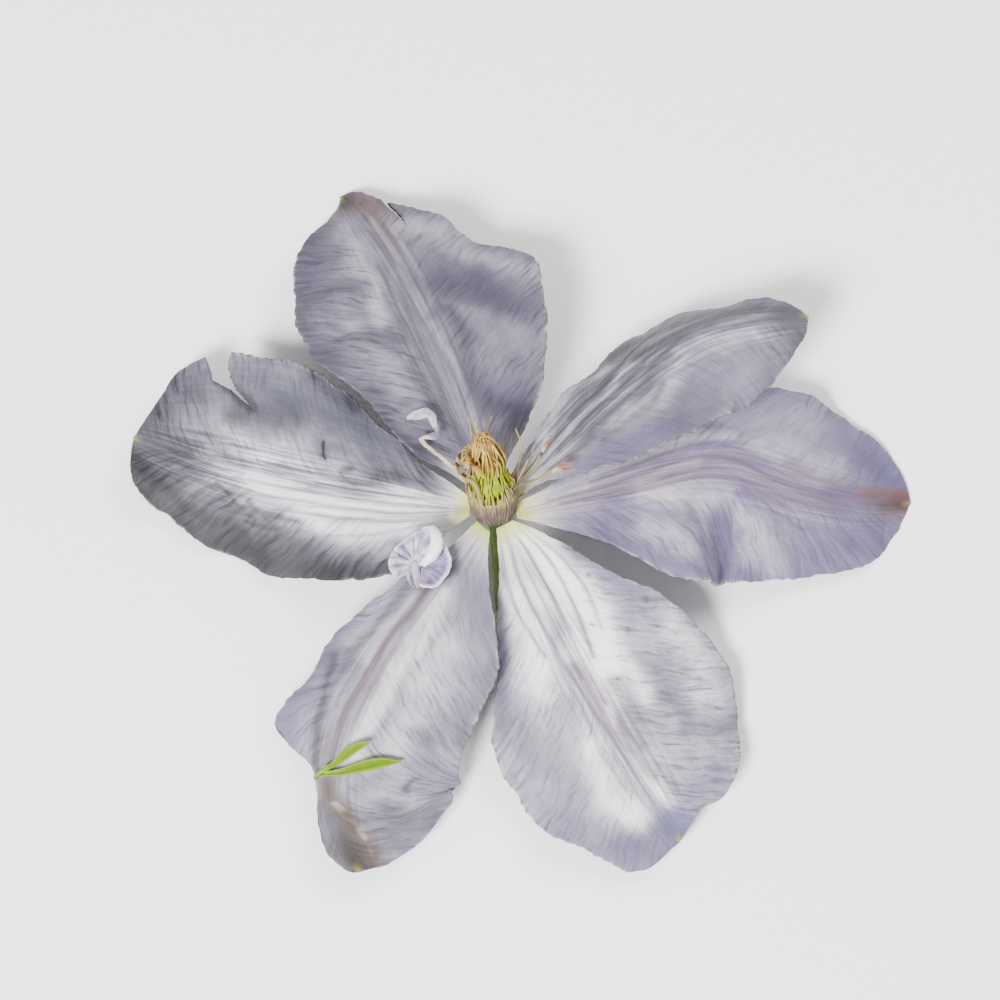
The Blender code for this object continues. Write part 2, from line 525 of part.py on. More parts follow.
def leaf_sprig(finish, collection):
    """Two narrow green leaflets from one foot, folded a little along their midribs."""
    tepal = next(tepal for tepal in TEPALS if tepal.name == "tepal_lower_left")
    extras = new_collection("sprig joins", hidden=True)
    for name, line, lift, half_widths in SPRIG_LEAFLETS:
        def shape(u, v, line=line, lift=lift, half_widths=half_widths):
            spot = through(line, u)
            ahead = through(line, np.clip(u + 0.02, 0, 1)) - through(line, np.clip(u - 0.02, 0, 1))
            ahead /= np.linalg.norm(ahead, axis=1)[:, None]
            across = (2 * v - 1) * station(half_widths, u)
            height = lift + 0.35 * np.abs(across) + 0.5 * u
            return over_blade(tepal, spot[:, 0] - ahead[:, 1] * across,
                              spot[:, 1] + ahead[:, 0] * across, height)

        piece = surface(name, shape, 10, 4, finish, collection if name == "leaf_sprig" else extras)
        thicken(piece)
        if name == "leaf_sprig":
            body = piece
    foot = over_blade(tepal, np.array([52.4, 51.4, 50.4]), np.array([-2.2, -0.9, 0.2]),
                      np.array([1.15, 1.25, 1.3]))
    tube("sprig foot", foot, (0.5, 0.62, 0.5), finish, extras, sides=8, rings=4)
    union(body, extras)
    return body


# ---------------------------------------------------------------- tears
def tear(piece, tepal, outline):
    """Cuts a prism out of a blade; outline holds the corners as (along, across) on the tepal."""
    corners = np.array(outline, float)
    places = blade(tepal, corners[:, 0], corners[:, 1], corners[:, 1] / 22)
    mesh = bpy.data.meshes.new("tear")
    wedge = bmesh.new()
    low = [wedge.verts.new((x * MM, y * MM, (places[:, 2].min() - 4) * MM)) for x, y, z in places]
    high = [wedge.verts.new((x * MM, y * MM, (places[:, 2].max() + 4) * MM)) for x, y, z in places]
    wedge.faces.new(low)
    wedge.faces.new(high)
    for k in range(len(places)):
        after = (k + 1) % len(places)
        wedge.faces.new((low[k], low[after], high[after], high[k]))
    bmesh.ops.recalc_face_normals(wedge, faces=wedge.faces)
    wedge.to_mesh(mesh)
    wedge.free()
    cutters = new_collection("cutters", hidden=True)
    cutter = bpy.data.objects.new("tear", mesh)
    cutter.display_type = "WIRE"
    cutters.objects.link(cutter)
    combine(piece, cutters, "DIFFERENCE")


LEFT_TEAR = ((42.7, -11.2), (46.5, -12.9), (49.2, -14.1), (51.4, -14.5), (53.6, -14.9), (54.4, -16.2),
             (56.8, -18.6), (62, -23), (60, -27), (52.4, -27), (52.1, -20.5), (51.9, -18.6), (50.2, -16.2),
             (48.3, -14.5), (45.8, -13.0))
TOP_SLIT = ((54.6, -7.3), (58.4, -6.75), (62.5, -6.2), (68, -5.9), (68, -7.2), (62.6, -6.9), (58.6, -7.25))


def centre(collection):
    """Moves everything so that the origin is the middle of the whole box's underside."""
    bpy.context.view_layer.update()
    graph = bpy.context.evaluated_depsgraph_get()
    points = np.concatenate([[vertex.co[:] for vertex in piece.evaluated_get(graph).data.vertices]
                             for piece in collection.objects])
    low, high = points.min(axis=0), points.max(axis=0)
    shift = -np.array([(low[0] + high[0]) / 2, (low[1] + high[1]) / 2, low[2]])
    for piece in collection.objects:
        for vertex in piece.data.vertices:
            vertex.co = np.array(vertex.co) + shift
    return shift


def build():
    clear_scene()
    flower = new_collection("clematis flower")
    lilac = material("lilac tepal", (0.50, 0.46, 0.62), 0.6)
    green = material("green stalk", (0.20, 0.30, 0.07), 0.5)
    mauve = material("filament base", (0.52, 0.45, 0.42), 0.6)
    lime = material("ovary", (0.35, 0.45, 0.03), 0.4)
    tan = material("style", (0.48, 0.30, 0.10), 0.6)
    brown = material("anther", (0.30, 0.22, 0.16), 0.6)
    dry = material("speckled petaloid", (0.58, 0.48, 0.36), 0.7)
    white = material("white petaloid", (0.78, 0.76, 0.80), 0.5)
    leaf = material("leaflet", (0.32, 0.45, 0.04), 0.45)
    for tepal in TEPALS:
        sheet = surface(tepal.name, lambda u, v, tepal=tepal: tepal_point(tepal, u, 2 * v - 1),
                        TEPAL_ROWS, 2 * (len(TEPAL_COLUMNS) - 1), lilac, flower)
        thicken(sheet)
        if tepal.name == "tepal_left":
            tear(sheet, tepal, LEFT_TEAR)
        if tepal.name == "tepal_top":
            tear(sheet, tepal, TOP_SLIT)
    stalk(green, flower)
    cup(mauve, flower)
    ovaries(lime, flower)
    styles(tan, flower)
    for name, path, radii in ANTHERS:
        tube(name, path, radii, brown, flower, sides=6, rings=5)
    ribbon("speckled_petaloid", SPECKLED_PATH, SPECKLED_WIDTHS, -110, LEAN_UP, dry, flower, rows=8,
           columns=8, ruffle=0.3)
    petaloid_stamen(white, flower)
    curled_petaloid(white, flower)
    leaf_sprig(leaf, flower)
    print("moved by", centre(flower) / MM, "mm")


build()
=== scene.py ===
# %% [markdown]
# # A clematis flower, laid face up
# The frame below is the solid model of the flower: one plain solid for each real piece. This script dresses
# it. Every piece is worked out again by the same formula, on a grid fine enough for silky crinkles, toothed
# margins and veins, and each finish is a set of procedural nodes.

# %% Load the solid model
import math
from collections import namedtuple

import bmesh
import bpy
import numpy as np
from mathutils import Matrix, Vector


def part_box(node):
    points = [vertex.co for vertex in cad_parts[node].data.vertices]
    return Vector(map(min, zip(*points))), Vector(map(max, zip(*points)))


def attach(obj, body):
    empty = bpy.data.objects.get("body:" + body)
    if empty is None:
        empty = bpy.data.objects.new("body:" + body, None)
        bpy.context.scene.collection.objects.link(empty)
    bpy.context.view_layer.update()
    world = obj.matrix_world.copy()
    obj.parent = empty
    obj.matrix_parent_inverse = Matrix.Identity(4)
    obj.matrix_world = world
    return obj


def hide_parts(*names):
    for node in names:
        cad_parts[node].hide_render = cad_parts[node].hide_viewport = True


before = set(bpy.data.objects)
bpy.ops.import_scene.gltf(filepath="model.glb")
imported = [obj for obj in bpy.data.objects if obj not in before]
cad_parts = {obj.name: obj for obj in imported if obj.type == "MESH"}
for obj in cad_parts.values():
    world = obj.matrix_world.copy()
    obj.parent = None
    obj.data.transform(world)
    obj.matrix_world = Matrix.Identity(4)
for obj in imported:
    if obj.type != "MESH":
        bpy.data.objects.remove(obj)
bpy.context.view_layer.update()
MM = 0.001                                    # everything below is in mm until it goes into a mesh
SHIFT = np.array([-5.022, -1.45, 0.0])         # the receptacle's axis stands here, off the flower's middle
print("solid nodes:", len(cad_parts))

# %% [markdown]
# ## Camera, light and table
# The flower is looked down on from 20 degrees off the vertical, as when one leans over a table. A long lens
# keeps the near and far tepals in proportion. The light is soft daylight: a wide source from the front
# left, a weaker one from the back right that opens the shadows, and a pale sky from all round.

# %% Camera
ELEVATION, DISTANCE = math.radians(70), 0.486      # the distance is in metres
AIM = (np.array([1.2, 1.4, 12.0]) + SHIFT) * MM
camera = bpy.data.objects.new("camera", bpy.data.cameras.new("camera"))
camera.data.lens = 100
camera.data.clip_start = 0.01
camera.location = AIM + DISTANCE * np.array([0, -math.cos(ELEVATION), math.sin(ELEVATION)])
camera.rotation_euler = (math.pi / 2 - ELEVATION, 0, 0)
bpy.context.scene.collection.objects.link(camera)
bpy.context.scene.camera = camera
print("camera height above the table:", round(camera.location.z * 1000), "mm")


# %% Colour and node helpers
def linear(code):
    """An sRGB hex colour as linear red, green, blue and alpha."""
    part = np.array([int(code[k:k + 2], 16) for k in (1, 3, 5)]) / 255
    return (*np.where(part <= 0.04045, part / 12.92, ((part + 0.055) / 1.055) ** 2.4), 1.0)


def add(tree, kind, *values, **named):
    """Adds a node and returns its first output in use.

    Names in lower case are its settings and names with a capital its sockets. Values without a name go into
    the sockets in use, in their order. A value may be another node's output, which is then linked.
    """
    node = tree.nodes.new("ShaderNode" + kind)
    for key in [key for key in named if key[0].islower()]:
        setattr(node, key, named.pop(key))
    sockets = [socket for socket in node.inputs if socket.enabled]
    pairs = list(zip(sockets, values)) + [(node.inputs[key.replace("_", " ")], named[key]) for key in named]
    for socket, value in pairs:
        if isinstance(value, bpy.types.NodeSocket):
            tree.links.new(value, socket)
        else:
            socket.default_value = value
    return next(output for output in node.outputs if output.enabled)


def finish(name, roughness, **sockets):
    """A new material with a Principled shader; sockets are its own constant values."""
    made = bpy.data.materials.new(name)
    made.use_nodes = True
    shader = made.node_tree.nodes["Principled BSDF"]
    shader.inputs["Roughness"].default_value = roughness
    for key, value in sockets.items():
        shader.inputs[key.replace("_", " ")].default_value = value
    return made.node_tree, shader, made


print("a middle grey, #808080, is", round(float(linear("#808080")[0]), 3), "in linear light")

# %% Table and lights
ground = bpy.data.meshes.new("table")
ground.from_pydata([(-3, -3, 0), (3, -3, 0), (3, 3, 0), (-3, 3, 0)], [], [(0, 1, 2, 3)])
table = bpy.data.objects.new("table", ground)
tree, shader, white_laminate = finish("white laminate table", 0.6)   # smooth, matt: even light, soft shadows
shader.inputs["Base Color"].default_value = linear("#fbfbfb")
ground.materials.append(white_laminate)
bpy.context.scene.collection.objects.link(table)

sky = bpy.data.worlds.new("overcast sky")
sky.use_nodes = True
sky.node_tree.nodes["Background"].inputs["Color"].default_value = linear("#fdfdff")
sky.node_tree.nodes["Background"].inputs["Strength"].default_value = 0.7
bpy.context.scene.world = sky


def softbox(name, place, size, power):
    """A square area light that looks at the flower."""
    lamp = bpy.data.objects.new(name, bpy.data.lights.new(name, "AREA"))
    lamp.data.size = size
    lamp.data.energy = power
    direction = np.array(place) / np.linalg.norm(place)
    lamp.location = place
    lamp.rotation_euler = (math.acos(direction[2]), 0, math.atan2(direction[1], direction[0]) + math.pi / 2)
    bpy.context.scene.collection.objects.link(lamp)


softbox("daylight from the front left", (-0.5, -0.75, 0.8), 0.4, 46)
softbox("weak light from the back right", (0.6, 0.6, 0.8), 0.6, 13)

# %% [markdown]
# ## Curves, grids and pieces
# Petals and threads could be sculpted, or drawn as Blender curves. Here a shape is a grid of points worked
# out in one go: a function of two shares, u and v, or a profile carried along a path. It can be measured
# against its solid, and each point can carry named values, so that a finish can follow the shape. A grid
# with its values is one part, and a piece is one or more parts in one mesh.


# %% Smooth curves
RIPPLE_PERIOD = 128                           # whole steps after which a ripple comes round again


def hermite(f, span, start, end, start_slope, end_slope):
    """The cubic from start to end with the given slopes, as f runs from 0 to 1 over the span."""
    return ((2 * f**3 - 3 * f**2 + 1) * start + (f**3 - 2 * f**2 + f) * span * start_slope
            + (3 * f**2 - 2 * f**3) * end + (f**3 - f**2) * span * end_slope)


def through(points, share):
    """Points of a smooth curve through the given ones; share runs 0 to 1 along their chords."""
    knots = np.asarray(points, float)
    steps = np.linalg.norm(np.diff(knots, axis=0), axis=1)
    place = np.concatenate([[0], np.cumsum(steps)]) / steps.sum()
    width = np.diff(place)
    slope = np.diff(knots, axis=0) / width[:, None]
    inner = (slope[:-1] * width[1:, None] + slope[1:] * width[:-1, None]) / (width[:-1] + width[1:])[:, None]
    tangent = np.concatenate([slope[:1], inner, slope[-1:]])
    share = np.asarray(share, float)
    i = np.clip(np.searchsorted(place, share, side="right") - 1, 0, len(width) - 1)
    f = np.clip((share - place[i]) / width[i], 0, 1)[..., None]
    return hermite(f, width[i][..., None], knots[i], knots[i + 1], tangent[i], tangent[i + 1])


def station(values, share):
    """Smooth reading of values that stand at equal steps from share 0 to share 1."""
    values = np.asarray(values, float)
    x = np.clip(share, 0, 1) * (len(values) - 1)
    i = np.clip(np.floor(x).astype(int), 0, len(values) - 2)
    slope = np.gradient(values)
    return hermite(x - i, 1, values[i], values[i + 1], slope[i], slope[i + 1])


def unit(vectors):
    return vectors / np.linalg.norm(vectors, axis=-1, keepdims=True)


def ahead_on(path, share):
    """The smooth path's unit direction, from a point a little before to one a little after."""
    return unit(through(path, np.clip(share + 0.02, 0, 1)) - through(path, np.clip(share - 0.02, 0, 1)))


def ripple(x, y, seed):
    """Smooth random relief of about -1 to 1: random values at whole x and y, blended by cubic steps."""
    random_values = np.random.default_rng(seed).uniform(-1, 1, (RIPPLE_PERIOD, RIPPLE_PERIOD))
    x, y = np.broadcast_arrays(x, y)
    i, j = np.floor(x).astype(int), np.floor(y).astype(int)
    f, g = x - i, y - j
    f, g = f * f * (3 - 2 * f), g * g * (3 - 2 * g)

    def at(a, b):
        return random_values[(i + a) % RIPPLE_PERIOD, (j + b) % RIPPLE_PERIOD]

    return at(0, 0) * (1 - f) * (1 - g) + at(1, 0) * f * (1 - g) + at(0, 1) * (1 - f) * g + at(1, 1) * f * g


print("a quarter of the way from 0 over 4 to 0:", round(float(station((0, 4, 0), 0.25)), 2))

# %% Grids into meshes
Part = namedtuple("Part", "points faces values")


def shares(rows, columns, low=-1):
    """Two grids of shares: u runs from 0 to 1 down the rows, and v from low to 1 across the columns."""
    return np.meshgrid(np.linspace(0, 1, rows), np.linspace(low, 1, columns), indexing="ij")


def grid_faces(rows, columns, closed=False, flip=False):
    """The quads of a grid of points; a closed grid joins its last column to its first."""
    index = np.arange(rows * columns).reshape(rows, columns)
    if closed:
        index = np.concatenate([index, index[:, :1]], axis=1)
    faces = np.stack([index[:-1, :-1], index[:-1, 1:], index[1:, 1:], index[1:, :-1]], -1).reshape(-1, 4)
    return faces[:, ::-1] if flip else faces


def grid_part(points, closed=False, flip=False, **values):
    """A part from a rows x columns grid of points; each value is one number or vector for each point."""
    rows, columns = points.shape[:2]
    flat = {key: np.broadcast_to(value, (rows, columns, *np.shape(value)[2:])).reshape(rows * columns, -1)
            for key, value in values.items()}
    return Part(points.reshape(-1, 3), grid_faces(rows, columns, closed, flip), flat)


def piece(name, parts, material, node, weld=False):
    """Makes one mesh object from parts in mm, with their named values, and lets it stand for a solid node."""
    points = (np.concatenate([part.points for part in parts]) + SHIFT) * MM
    start = np.cumsum([0] + [len(part.points) for part in parts[:-1]])
    faces = np.concatenate([part.faces + first for part, first in zip(parts, start)])
    mesh = bpy.data.meshes.new(name)
    mesh.vertices.add(len(points))
    mesh.vertices.foreach_set("co", points.astype(np.float32).ravel())
    mesh.loops.add(faces.size)
    mesh.loops.foreach_set("vertex_index", faces.astype(np.int32).ravel())
    mesh.polygons.add(len(faces))
    mesh.polygons.foreach_set("loop_start", np.arange(0, faces.size, 4, dtype=np.int32))
    for key in parts[0].values:
        value = np.concatenate([part.values[key] for part in parts]).astype(np.float32)
        single = value.shape[1] == 1
        layer = mesh.attributes.new(key, "FLOAT" if single else "FLOAT_VECTOR", "POINT")
        layer.data.foreach_set("value" if single else "vector", value.ravel())
    mesh.update()
    mesh.validate()
    if weld:                                  # closes poles, where a ring's points fall together
        shape = bmesh.new()
        shape.from_mesh(mesh)
        bmesh.ops.remove_doubles(shape, verts=shape.verts, dist=1e-7)
        shape.to_mesh(mesh)
        shape.free()
    mesh.shade_smooth()
    mesh.materials.append(material)
    made = bpy.data.objects.new(name, mesh)
    bpy.context.scene.collection.objects.link(made)
    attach(made, "root")
    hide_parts(node)
    low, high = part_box(node)
    off = np.concatenate([points.min(0) - low, points.max(0) - high]) * 1000
    print(f"{name}: {len(faces)} faces, its box is off its solid's by", np.round(off, 1), "mm")
    return made


def thicken(made, thickness):
    """Gives an open sheet two faces and a rim, half the thickness on each side."""
    shell = made.modifiers.new("Thickness", "SOLIDIFY")
    shell.thickness = thickness * MM
    shell.offset = 0
    return made


print("faces of a 3 x 4 grid:", len(grid_faces(3, 4)), "open,", len(grid_faces(3, 4, closed=True)), "closed")

# %% [markdown]
# ## The tepals
# Clematis has no petals: what looks like them are tepals, thin blades with three main veins, which leave the
# receptacle on a narrow claw. Each is described by its outline pressed flat, its midrib's direction and
# climb, and how each half slopes and curls. A subdivided plane pulled into shape would be quicker for one
# petal, but six that differ are easier to compare and correct in a table. It holds the solid model's values.

# %% Six tepals
# A side's outline is (along, across) on the blade pressed flat, in mm. Its slope is the fall or rise away
# from the midrib in degrees, and its curl the extra turn by the time it is `reach` mm out.
Side = namedtuple("Side", "outline slope curl reach")

# heading and pitch give the midrib's direction and climb at equal steps from root to tip.
# A dent is (along, across, half length, half width, height): a soft hump, or a hollow below 0.
# waves is (height, number of waves, phase in turns) of the margin's ruffle.
Tepal = namedtuple("Tepal", "name root length heading pitch left right dents waves")

TEPALS = (
    Tepal(
        "tepal_top", 105, 70.5, (110, 113, 114, 114, 116, 119), (12, 8, -2, -14, -25, -36),
        Side(((0, 1.6), (4.5, 5), (12, 11), (20, 13.2), (28, 16), (35, 19), (41, 19.5), (47, 18.5),
              (54, 16.5), (59, 13.5), (63, 9.5), (65.5, 5.5), (68.5, 2), (70.5, 0)),
             (8, 8, 4, 0, 0, 0), (0, 0, -12, -18, -14, 0), 22),
        Side(((0, 1.6), (4, 5.5), (10.5, 12.8), (18, 18.7), (26.5, 22.5), (35, 25), (40, 24.8),
              (43, 22.5), (47, 17.5), (54, 13.5), (60.5, 9.3), (65, 6), (68.5, 4), (70.3, 2), (70.5, 0)),
             (0, -2, 2, 0, 0, 0), (0, -6, -10, -18, -14, 0), 24),
        ((38, 11, 3.5, 9, -1.0), (46, 9, 3, 8, 0.9), (34, -13, 7, 6, -1.2), (22, -10, 6, 6, 0.8)),
        (0.7, 4.5, 0.1)),
    Tepal(
        "tepal_upper_right", 44, 66, (46, 46, 43, 34, 14, -4), (16, 10, 3, -4, -6, -6),
        Side(((0, 1.5), (5.5, 2.6), (13, 4.2), (22, 6.6), (32, 9.6), (42, 11.2), (50, 10), (57, 6.8),
              (62, 3.8), (65, 1.6), (66, 0)),
             (6, 0, -32, -38, -40, -20), (0, -16, -25, -25, -20, -10), 12),
        Side(((0, 1.5), (5.5, 3.2), (10, 6.3), (16.5, 11), (22.5, 13), (28.5, 15), (37, 16),
              (50, 15.8), (56, 14), (60, 11), (63.5, 7.5), (65.8, 3.5), (66, 0)),
             (6, 6, 3, 0, 0, 0), (0, 0, -8, -12, -14, 0), 18),
        ((30, -8, 8, 4, -0.8), (48, -6, 6, 5, 0.7)),
        (0.5, 5, 0.4)),
    Tepal(
        "tepal_right", -6, 74.2, (14, 15, 12, -12, -4, 7), (2, -1, -7, -15, -21, -16),
        Side(((0, 1.5), (3, 1.6), (8, 3.2), (14, 7), (24, 12.5), (34, 16.5), (42, 18.5), (50, 18.8),
              (56, 18.5), (61, 17), (65, 15), (68, 12.6), (71, 9.5), (73, 6.5), (74, 3.5), (74.2, 0)),
             (-4, -4, -4, 0, 0, 0), (0, 0, -8, -14, -14, 0), 20),
        Side(((0, 1.6), (6, 5), (11, 8.5), (15.5, 12), (19, 15), (22.5, 18), (27, 20), (32, 21),
              (41, 20.5), (49, 18), (56, 15.2), (63, 12.7), (67, 10), (70, 6.8), (72.5, 3.3), (74.2, 0)),
             (4, 4, 2, 0, 0, 0), (0, 0, -8, -14, -14, 0), 20),
        ((38, -14, 6, 7, -1.4), (27, -13, 5, 7, 1.2), (47, -12, 4, 8, 1.0), (40, 2, 5, 5, 0.8)),
        (0.6, 4.5, 0.7)),
    Tepal(
        "tepal_lower_right", -60, 62.5, (-64, -64, -62, -60, -58, -56), (-2, -8, -11, -12, -9, -3),
        Side(((0, 1.6), (4.5, 5.5), (10.5, 9.5), (17, 14), (23, 19), (29.5, 21.5), (36.5, 24),
              (44, 23.3), (51, 20), (57, 16), (60.5, 10), (60, 5.5), (61.5, 2.5), (62.5, 0)),
             (4, 4, 2, 0, 0, 0), (0, 0, -8, -14, -14, 0), 24),
        Side(((0, 1.5), (7, 4.3), (15, 8.5), (24, 13), (29, 17), (35, 19.5), (43, 19.8), (50, 18.2),
              (57.5, 13), (62.5, 10), (63.5, 6.5), (62.8, 2.5), (62.5, 0)),
             (-2, -6, -6, -3, 0, 0), (0, -6, -12, -14, -10, 0), 24),
        ((40, 16, 4, 8, -1.0), (30, 15, 4, 8, 0.8), (46, 0, 12, 2.5, -0.8), (18, 10, 3, 3, -0.8)),
        (0.7, 4, 0.2)),
    Tepal(
        "tepal_lower_left", -118, 69.5, (-131, -130, -123, -113, -84, -48), (0, -6, -10, -9, -7, -4),
        Side(((0, 1.6), (6, 6.5), (13, 14), (20.5, 19.8), (27, 20.5), (34, 21), (41, 21.5), (49, 22.5),
              (55, 22.3), (60, 21.6), (65, 21), (70.8, 19.9), (71.5, 16.7), (72.4, 13.2), (72.6, 10),
              (72.2, 6.5), (71.5, 3.7), (70.4, 1.6), (69.5, 0)),
             (6, 6, 3, 0, 0, 0), (6, 0, -8, -14, -14, 0), 28),
        Side(((0, 1.2), (9, 2.0), (16.5, 4.6), (23, 7.4), (31, 9.0), (39, 9.2), (43, 11.2), (46, 14),
              (48.2, 8.8), (50.2, 4.4), (55, 3), (61, 2.8), (66, 2.4), (68.7, 1.2), (69.5, 0)),
             (0, -8, -14, -8, -30, -10), (0, -10, -20, -10, -130, -60), 14),
        ((30, 14, 5, 8, -0.9), (41, 15, 4, 8, 0.9), (52, 12, 5, 8, -0.6)),
        (0.35, 4.5, 0.55)),
    Tepal(
        "tepal_left", 176, 62.8, (175, 171, 168, 164, 160, 157), (-3, -5, -6, -7, -6, -4),
        Side(((0, 1.5), (2.5, 3.8), (5, 7.5), (9, 12), (15, 14.5), (26, 16.3), (34, 17), (43, 15.2),
              (50, 12.3), (55, 10.5), (58.5, 8.5), (61, 5.5), (62.4, 2), (62.8, 0)),
             (6, 4, 0, -6, -8, -8), (0, -15, -40, -50, -44, -20), 18),
        Side(((0, 1.5), (5, 4.5), (9, 7), (18, 13), (25, 17.5), (31.5, 20.7), (38, 22), (46, 21.8),
              (52, 21.2), (56.5, 19.2), (59.5, 16.8), (61, 14.3), (61.8, 9), (62.4, 4), (62.8, 0)),
             (-4, -4, -3, 0, 0, 0), (0, 0, 0, 4, 4, 0), 22),
        ((52, -4, 5, 4, -1.0), (42, -13, 6, 5, 0.7), (20, 6, 8, 4, 0.6)),
        (0.6, 5, 0.3)),
)
LOWER_LEFT = TEPALS[4]
ROOT_RADIUS, ROOT_HEIGHT, ROOT_TILT = 3.9, 12.0, math.radians(15)       # the ring that they grow from
print("tepals:", ", ".join(tepal.name for tepal in TEPALS))

# %% [markdown]
# ## From a flat blade to a living one
# A leaf-like blade bends but hardly stretches, which a lattice or proportional editing wouldn't keep. So a
# cross-section is an arc that leaves the midrib at its half's slope, and a flat point (along, across) lands
# on it by turning and shortening. On top come the keel, the wave of the margin, soft dents, and the fine
# crinkles that run slantwise out from the midrib as the barbs of a feather do.


# %% The bent blade
KEEL_DEPTH, KEEL_WIDTH = 0.5, 1.5            # mm: the groove over the midrib, which runs out at the tip


def midrib(tepal):
    """The midrib's points and directions at 400 places: the sum of equal steps along heading and pitch."""
    share = np.linspace(0, 1, 400)
    heading = np.radians(station(tepal.heading, share))
    pitch = np.radians(station(tepal.pitch, share))
    ahead = np.stack([np.cos(pitch) * np.cos(heading), np.cos(pitch) * np.sin(heading), np.sin(pitch)], 1)
    steps = (ahead[1:] + ahead[:-1]) / 2 * tepal.length / (len(share) - 1)
    root = math.radians(tepal.root)
    start = np.array([ROOT_RADIUS * math.cos(root), ROOT_RADIUS * math.sin(root),
                      ROOT_HEIGHT - ROOT_RADIUS * math.sin(root) * math.sin(ROOT_TILT)])
    return share, start + np.concatenate([np.zeros((1, 3)), np.cumsum(steps, axis=0)]), ahead, heading


def blade(tepal, along, across, reach_share, fine=0.0, thickness=0.0):
    """Bends flat points: chord = out * sin(curl/2) / (curl/2), laid at the slope plus half the curl.

    across is positive on the left. reach_share is 0 on the midrib and 1 or -1 on the margins.
    """
    place, line, ahead, heading = midrib(tepal)
    share = np.clip(along / tepal.length, 0, 1)
    origin = np.stack([np.interp(share, place, line[:, k]) for k in range(3)], -1)
    forward = np.stack([np.interp(share, place, ahead[:, k]) for k in range(3)], -1)
    turn = np.interp(share, place, heading)
    aside = np.stack([-np.sin(turn), np.cos(turn), np.zeros_like(turn)], -1)
    up = np.cross(forward, aside)
    is_left, left, right = across >= 0, tepal.left, tepal.right
    slope = np.radians(np.where(is_left, station(left.slope, share), station(right.slope, share)))
    curl = np.radians(np.where(is_left, station(left.curl, share), station(right.curl, share)))
    out = np.abs(across)
    curl = curl * out / np.where(is_left, left.reach, right.reach)
    chord = out * np.sinc(curl / 2 / np.pi)
    sideways = np.sign(across) * chord * np.cos(slope + curl / 2)
    rise = chord * np.sin(slope + curl / 2)
    tilt = (slope + curl) * np.where(is_left, 1, -1)
    normal = up * np.cos(tilt)[..., None] - aside * np.sin(tilt)[..., None]
    beyond = forward * (along - share * tepal.length)[..., None]
    height, number, phase = tepal.waves
    relief = fine - KEEL_DEPTH * np.exp(-(across / KEEL_WIDTH) ** 2) * (1 - share)
    relief = relief + height * np.abs(reach_share) ** 3 * np.sin(
        2 * np.pi * (number * share + phase + 0.3 * np.sign(reach_share)))
    for mid_along, mid_across, half_length, half_width, depth in tepal.dents:
        relief = relief + depth * np.exp(-((along - mid_along) / half_length) ** 2
                                         - ((across - mid_across) / half_width) ** 2)
    point = origin + aside * sideways[..., None] + up * rise[..., None] + beyond + normal * relief[..., None]
    point[..., 2] = np.maximum(point[..., 2], thickness / 2)    # the table flattens what touches it
    return point


print("heights where the midribs end, before the table holds them up, mm:",
      [round(float(midrib(tepal)[1][-1, 2]), 1) for tepal in TEPALS])

# %% Veins and crinkles in flat coordinates
def vein_place(tepal, along, across):
    """Constant along a vein: across, divided by how far the veins have spread at this share of the length."""
    share = np.clip(along / tepal.length, 0, 1)
    return across / (0.12 + 1.25 * share ** 0.75 * (1.06 - share) ** 0.55)


def barb_place(along, across):
    """Constant along a barb, which leaves the midrib and bends out: along - 2.6 across^0.62, a bit wavy."""
    wavy = 0.7 * ripple(along / 5, across / 4, 13) + 0.25 * ripple(along / 2, across / 1.7, 14)
    return along - 2.6 * np.abs(across) ** 0.62 + wavy


def crinkles(along, across, reach_share, number):
    """Relief in mm: barbs 2.4 and 1.2 mm apart that swell and fade, and soft buckles near the margins."""
    barb = barb_place(along, across)
    side = 40 * number + 300 * (across < 0)
    grow = np.clip(np.abs(across) / 5, 0, 1) * np.clip(along / 14, 0, 1)
    patches = 0.6 + 0.4 * ripple(along / 8 + side, across / 6, 11)
    stagger = np.abs(across) + 2.2 * ripple(barb / 1.9 + side, across / 4, 12)   # no two barbs end in a row
    coarse = ripple(barb / 1.2 + side, stagger / 5, 21)
    small = ripple(barb / 0.6 + side, stagger / 2.5, 31)
    buckle = 0.4 * ripple(along / 10 + side, across / 7, 41) * np.abs(reach_share) ** 1.5
    return grow * patches * (0.26 * coarse + 0.11 * small) + buckle * np.clip(along / 20, 0, 1)


relief = crinkles(np.linspace(0, 60, 600), np.full(600, 10.0), np.full(600, 0.5), 0)
print("crinkles along a line 10 mm off the midrib, mm:", round(relief.min(), 2), "to", round(relief.max(), 2))
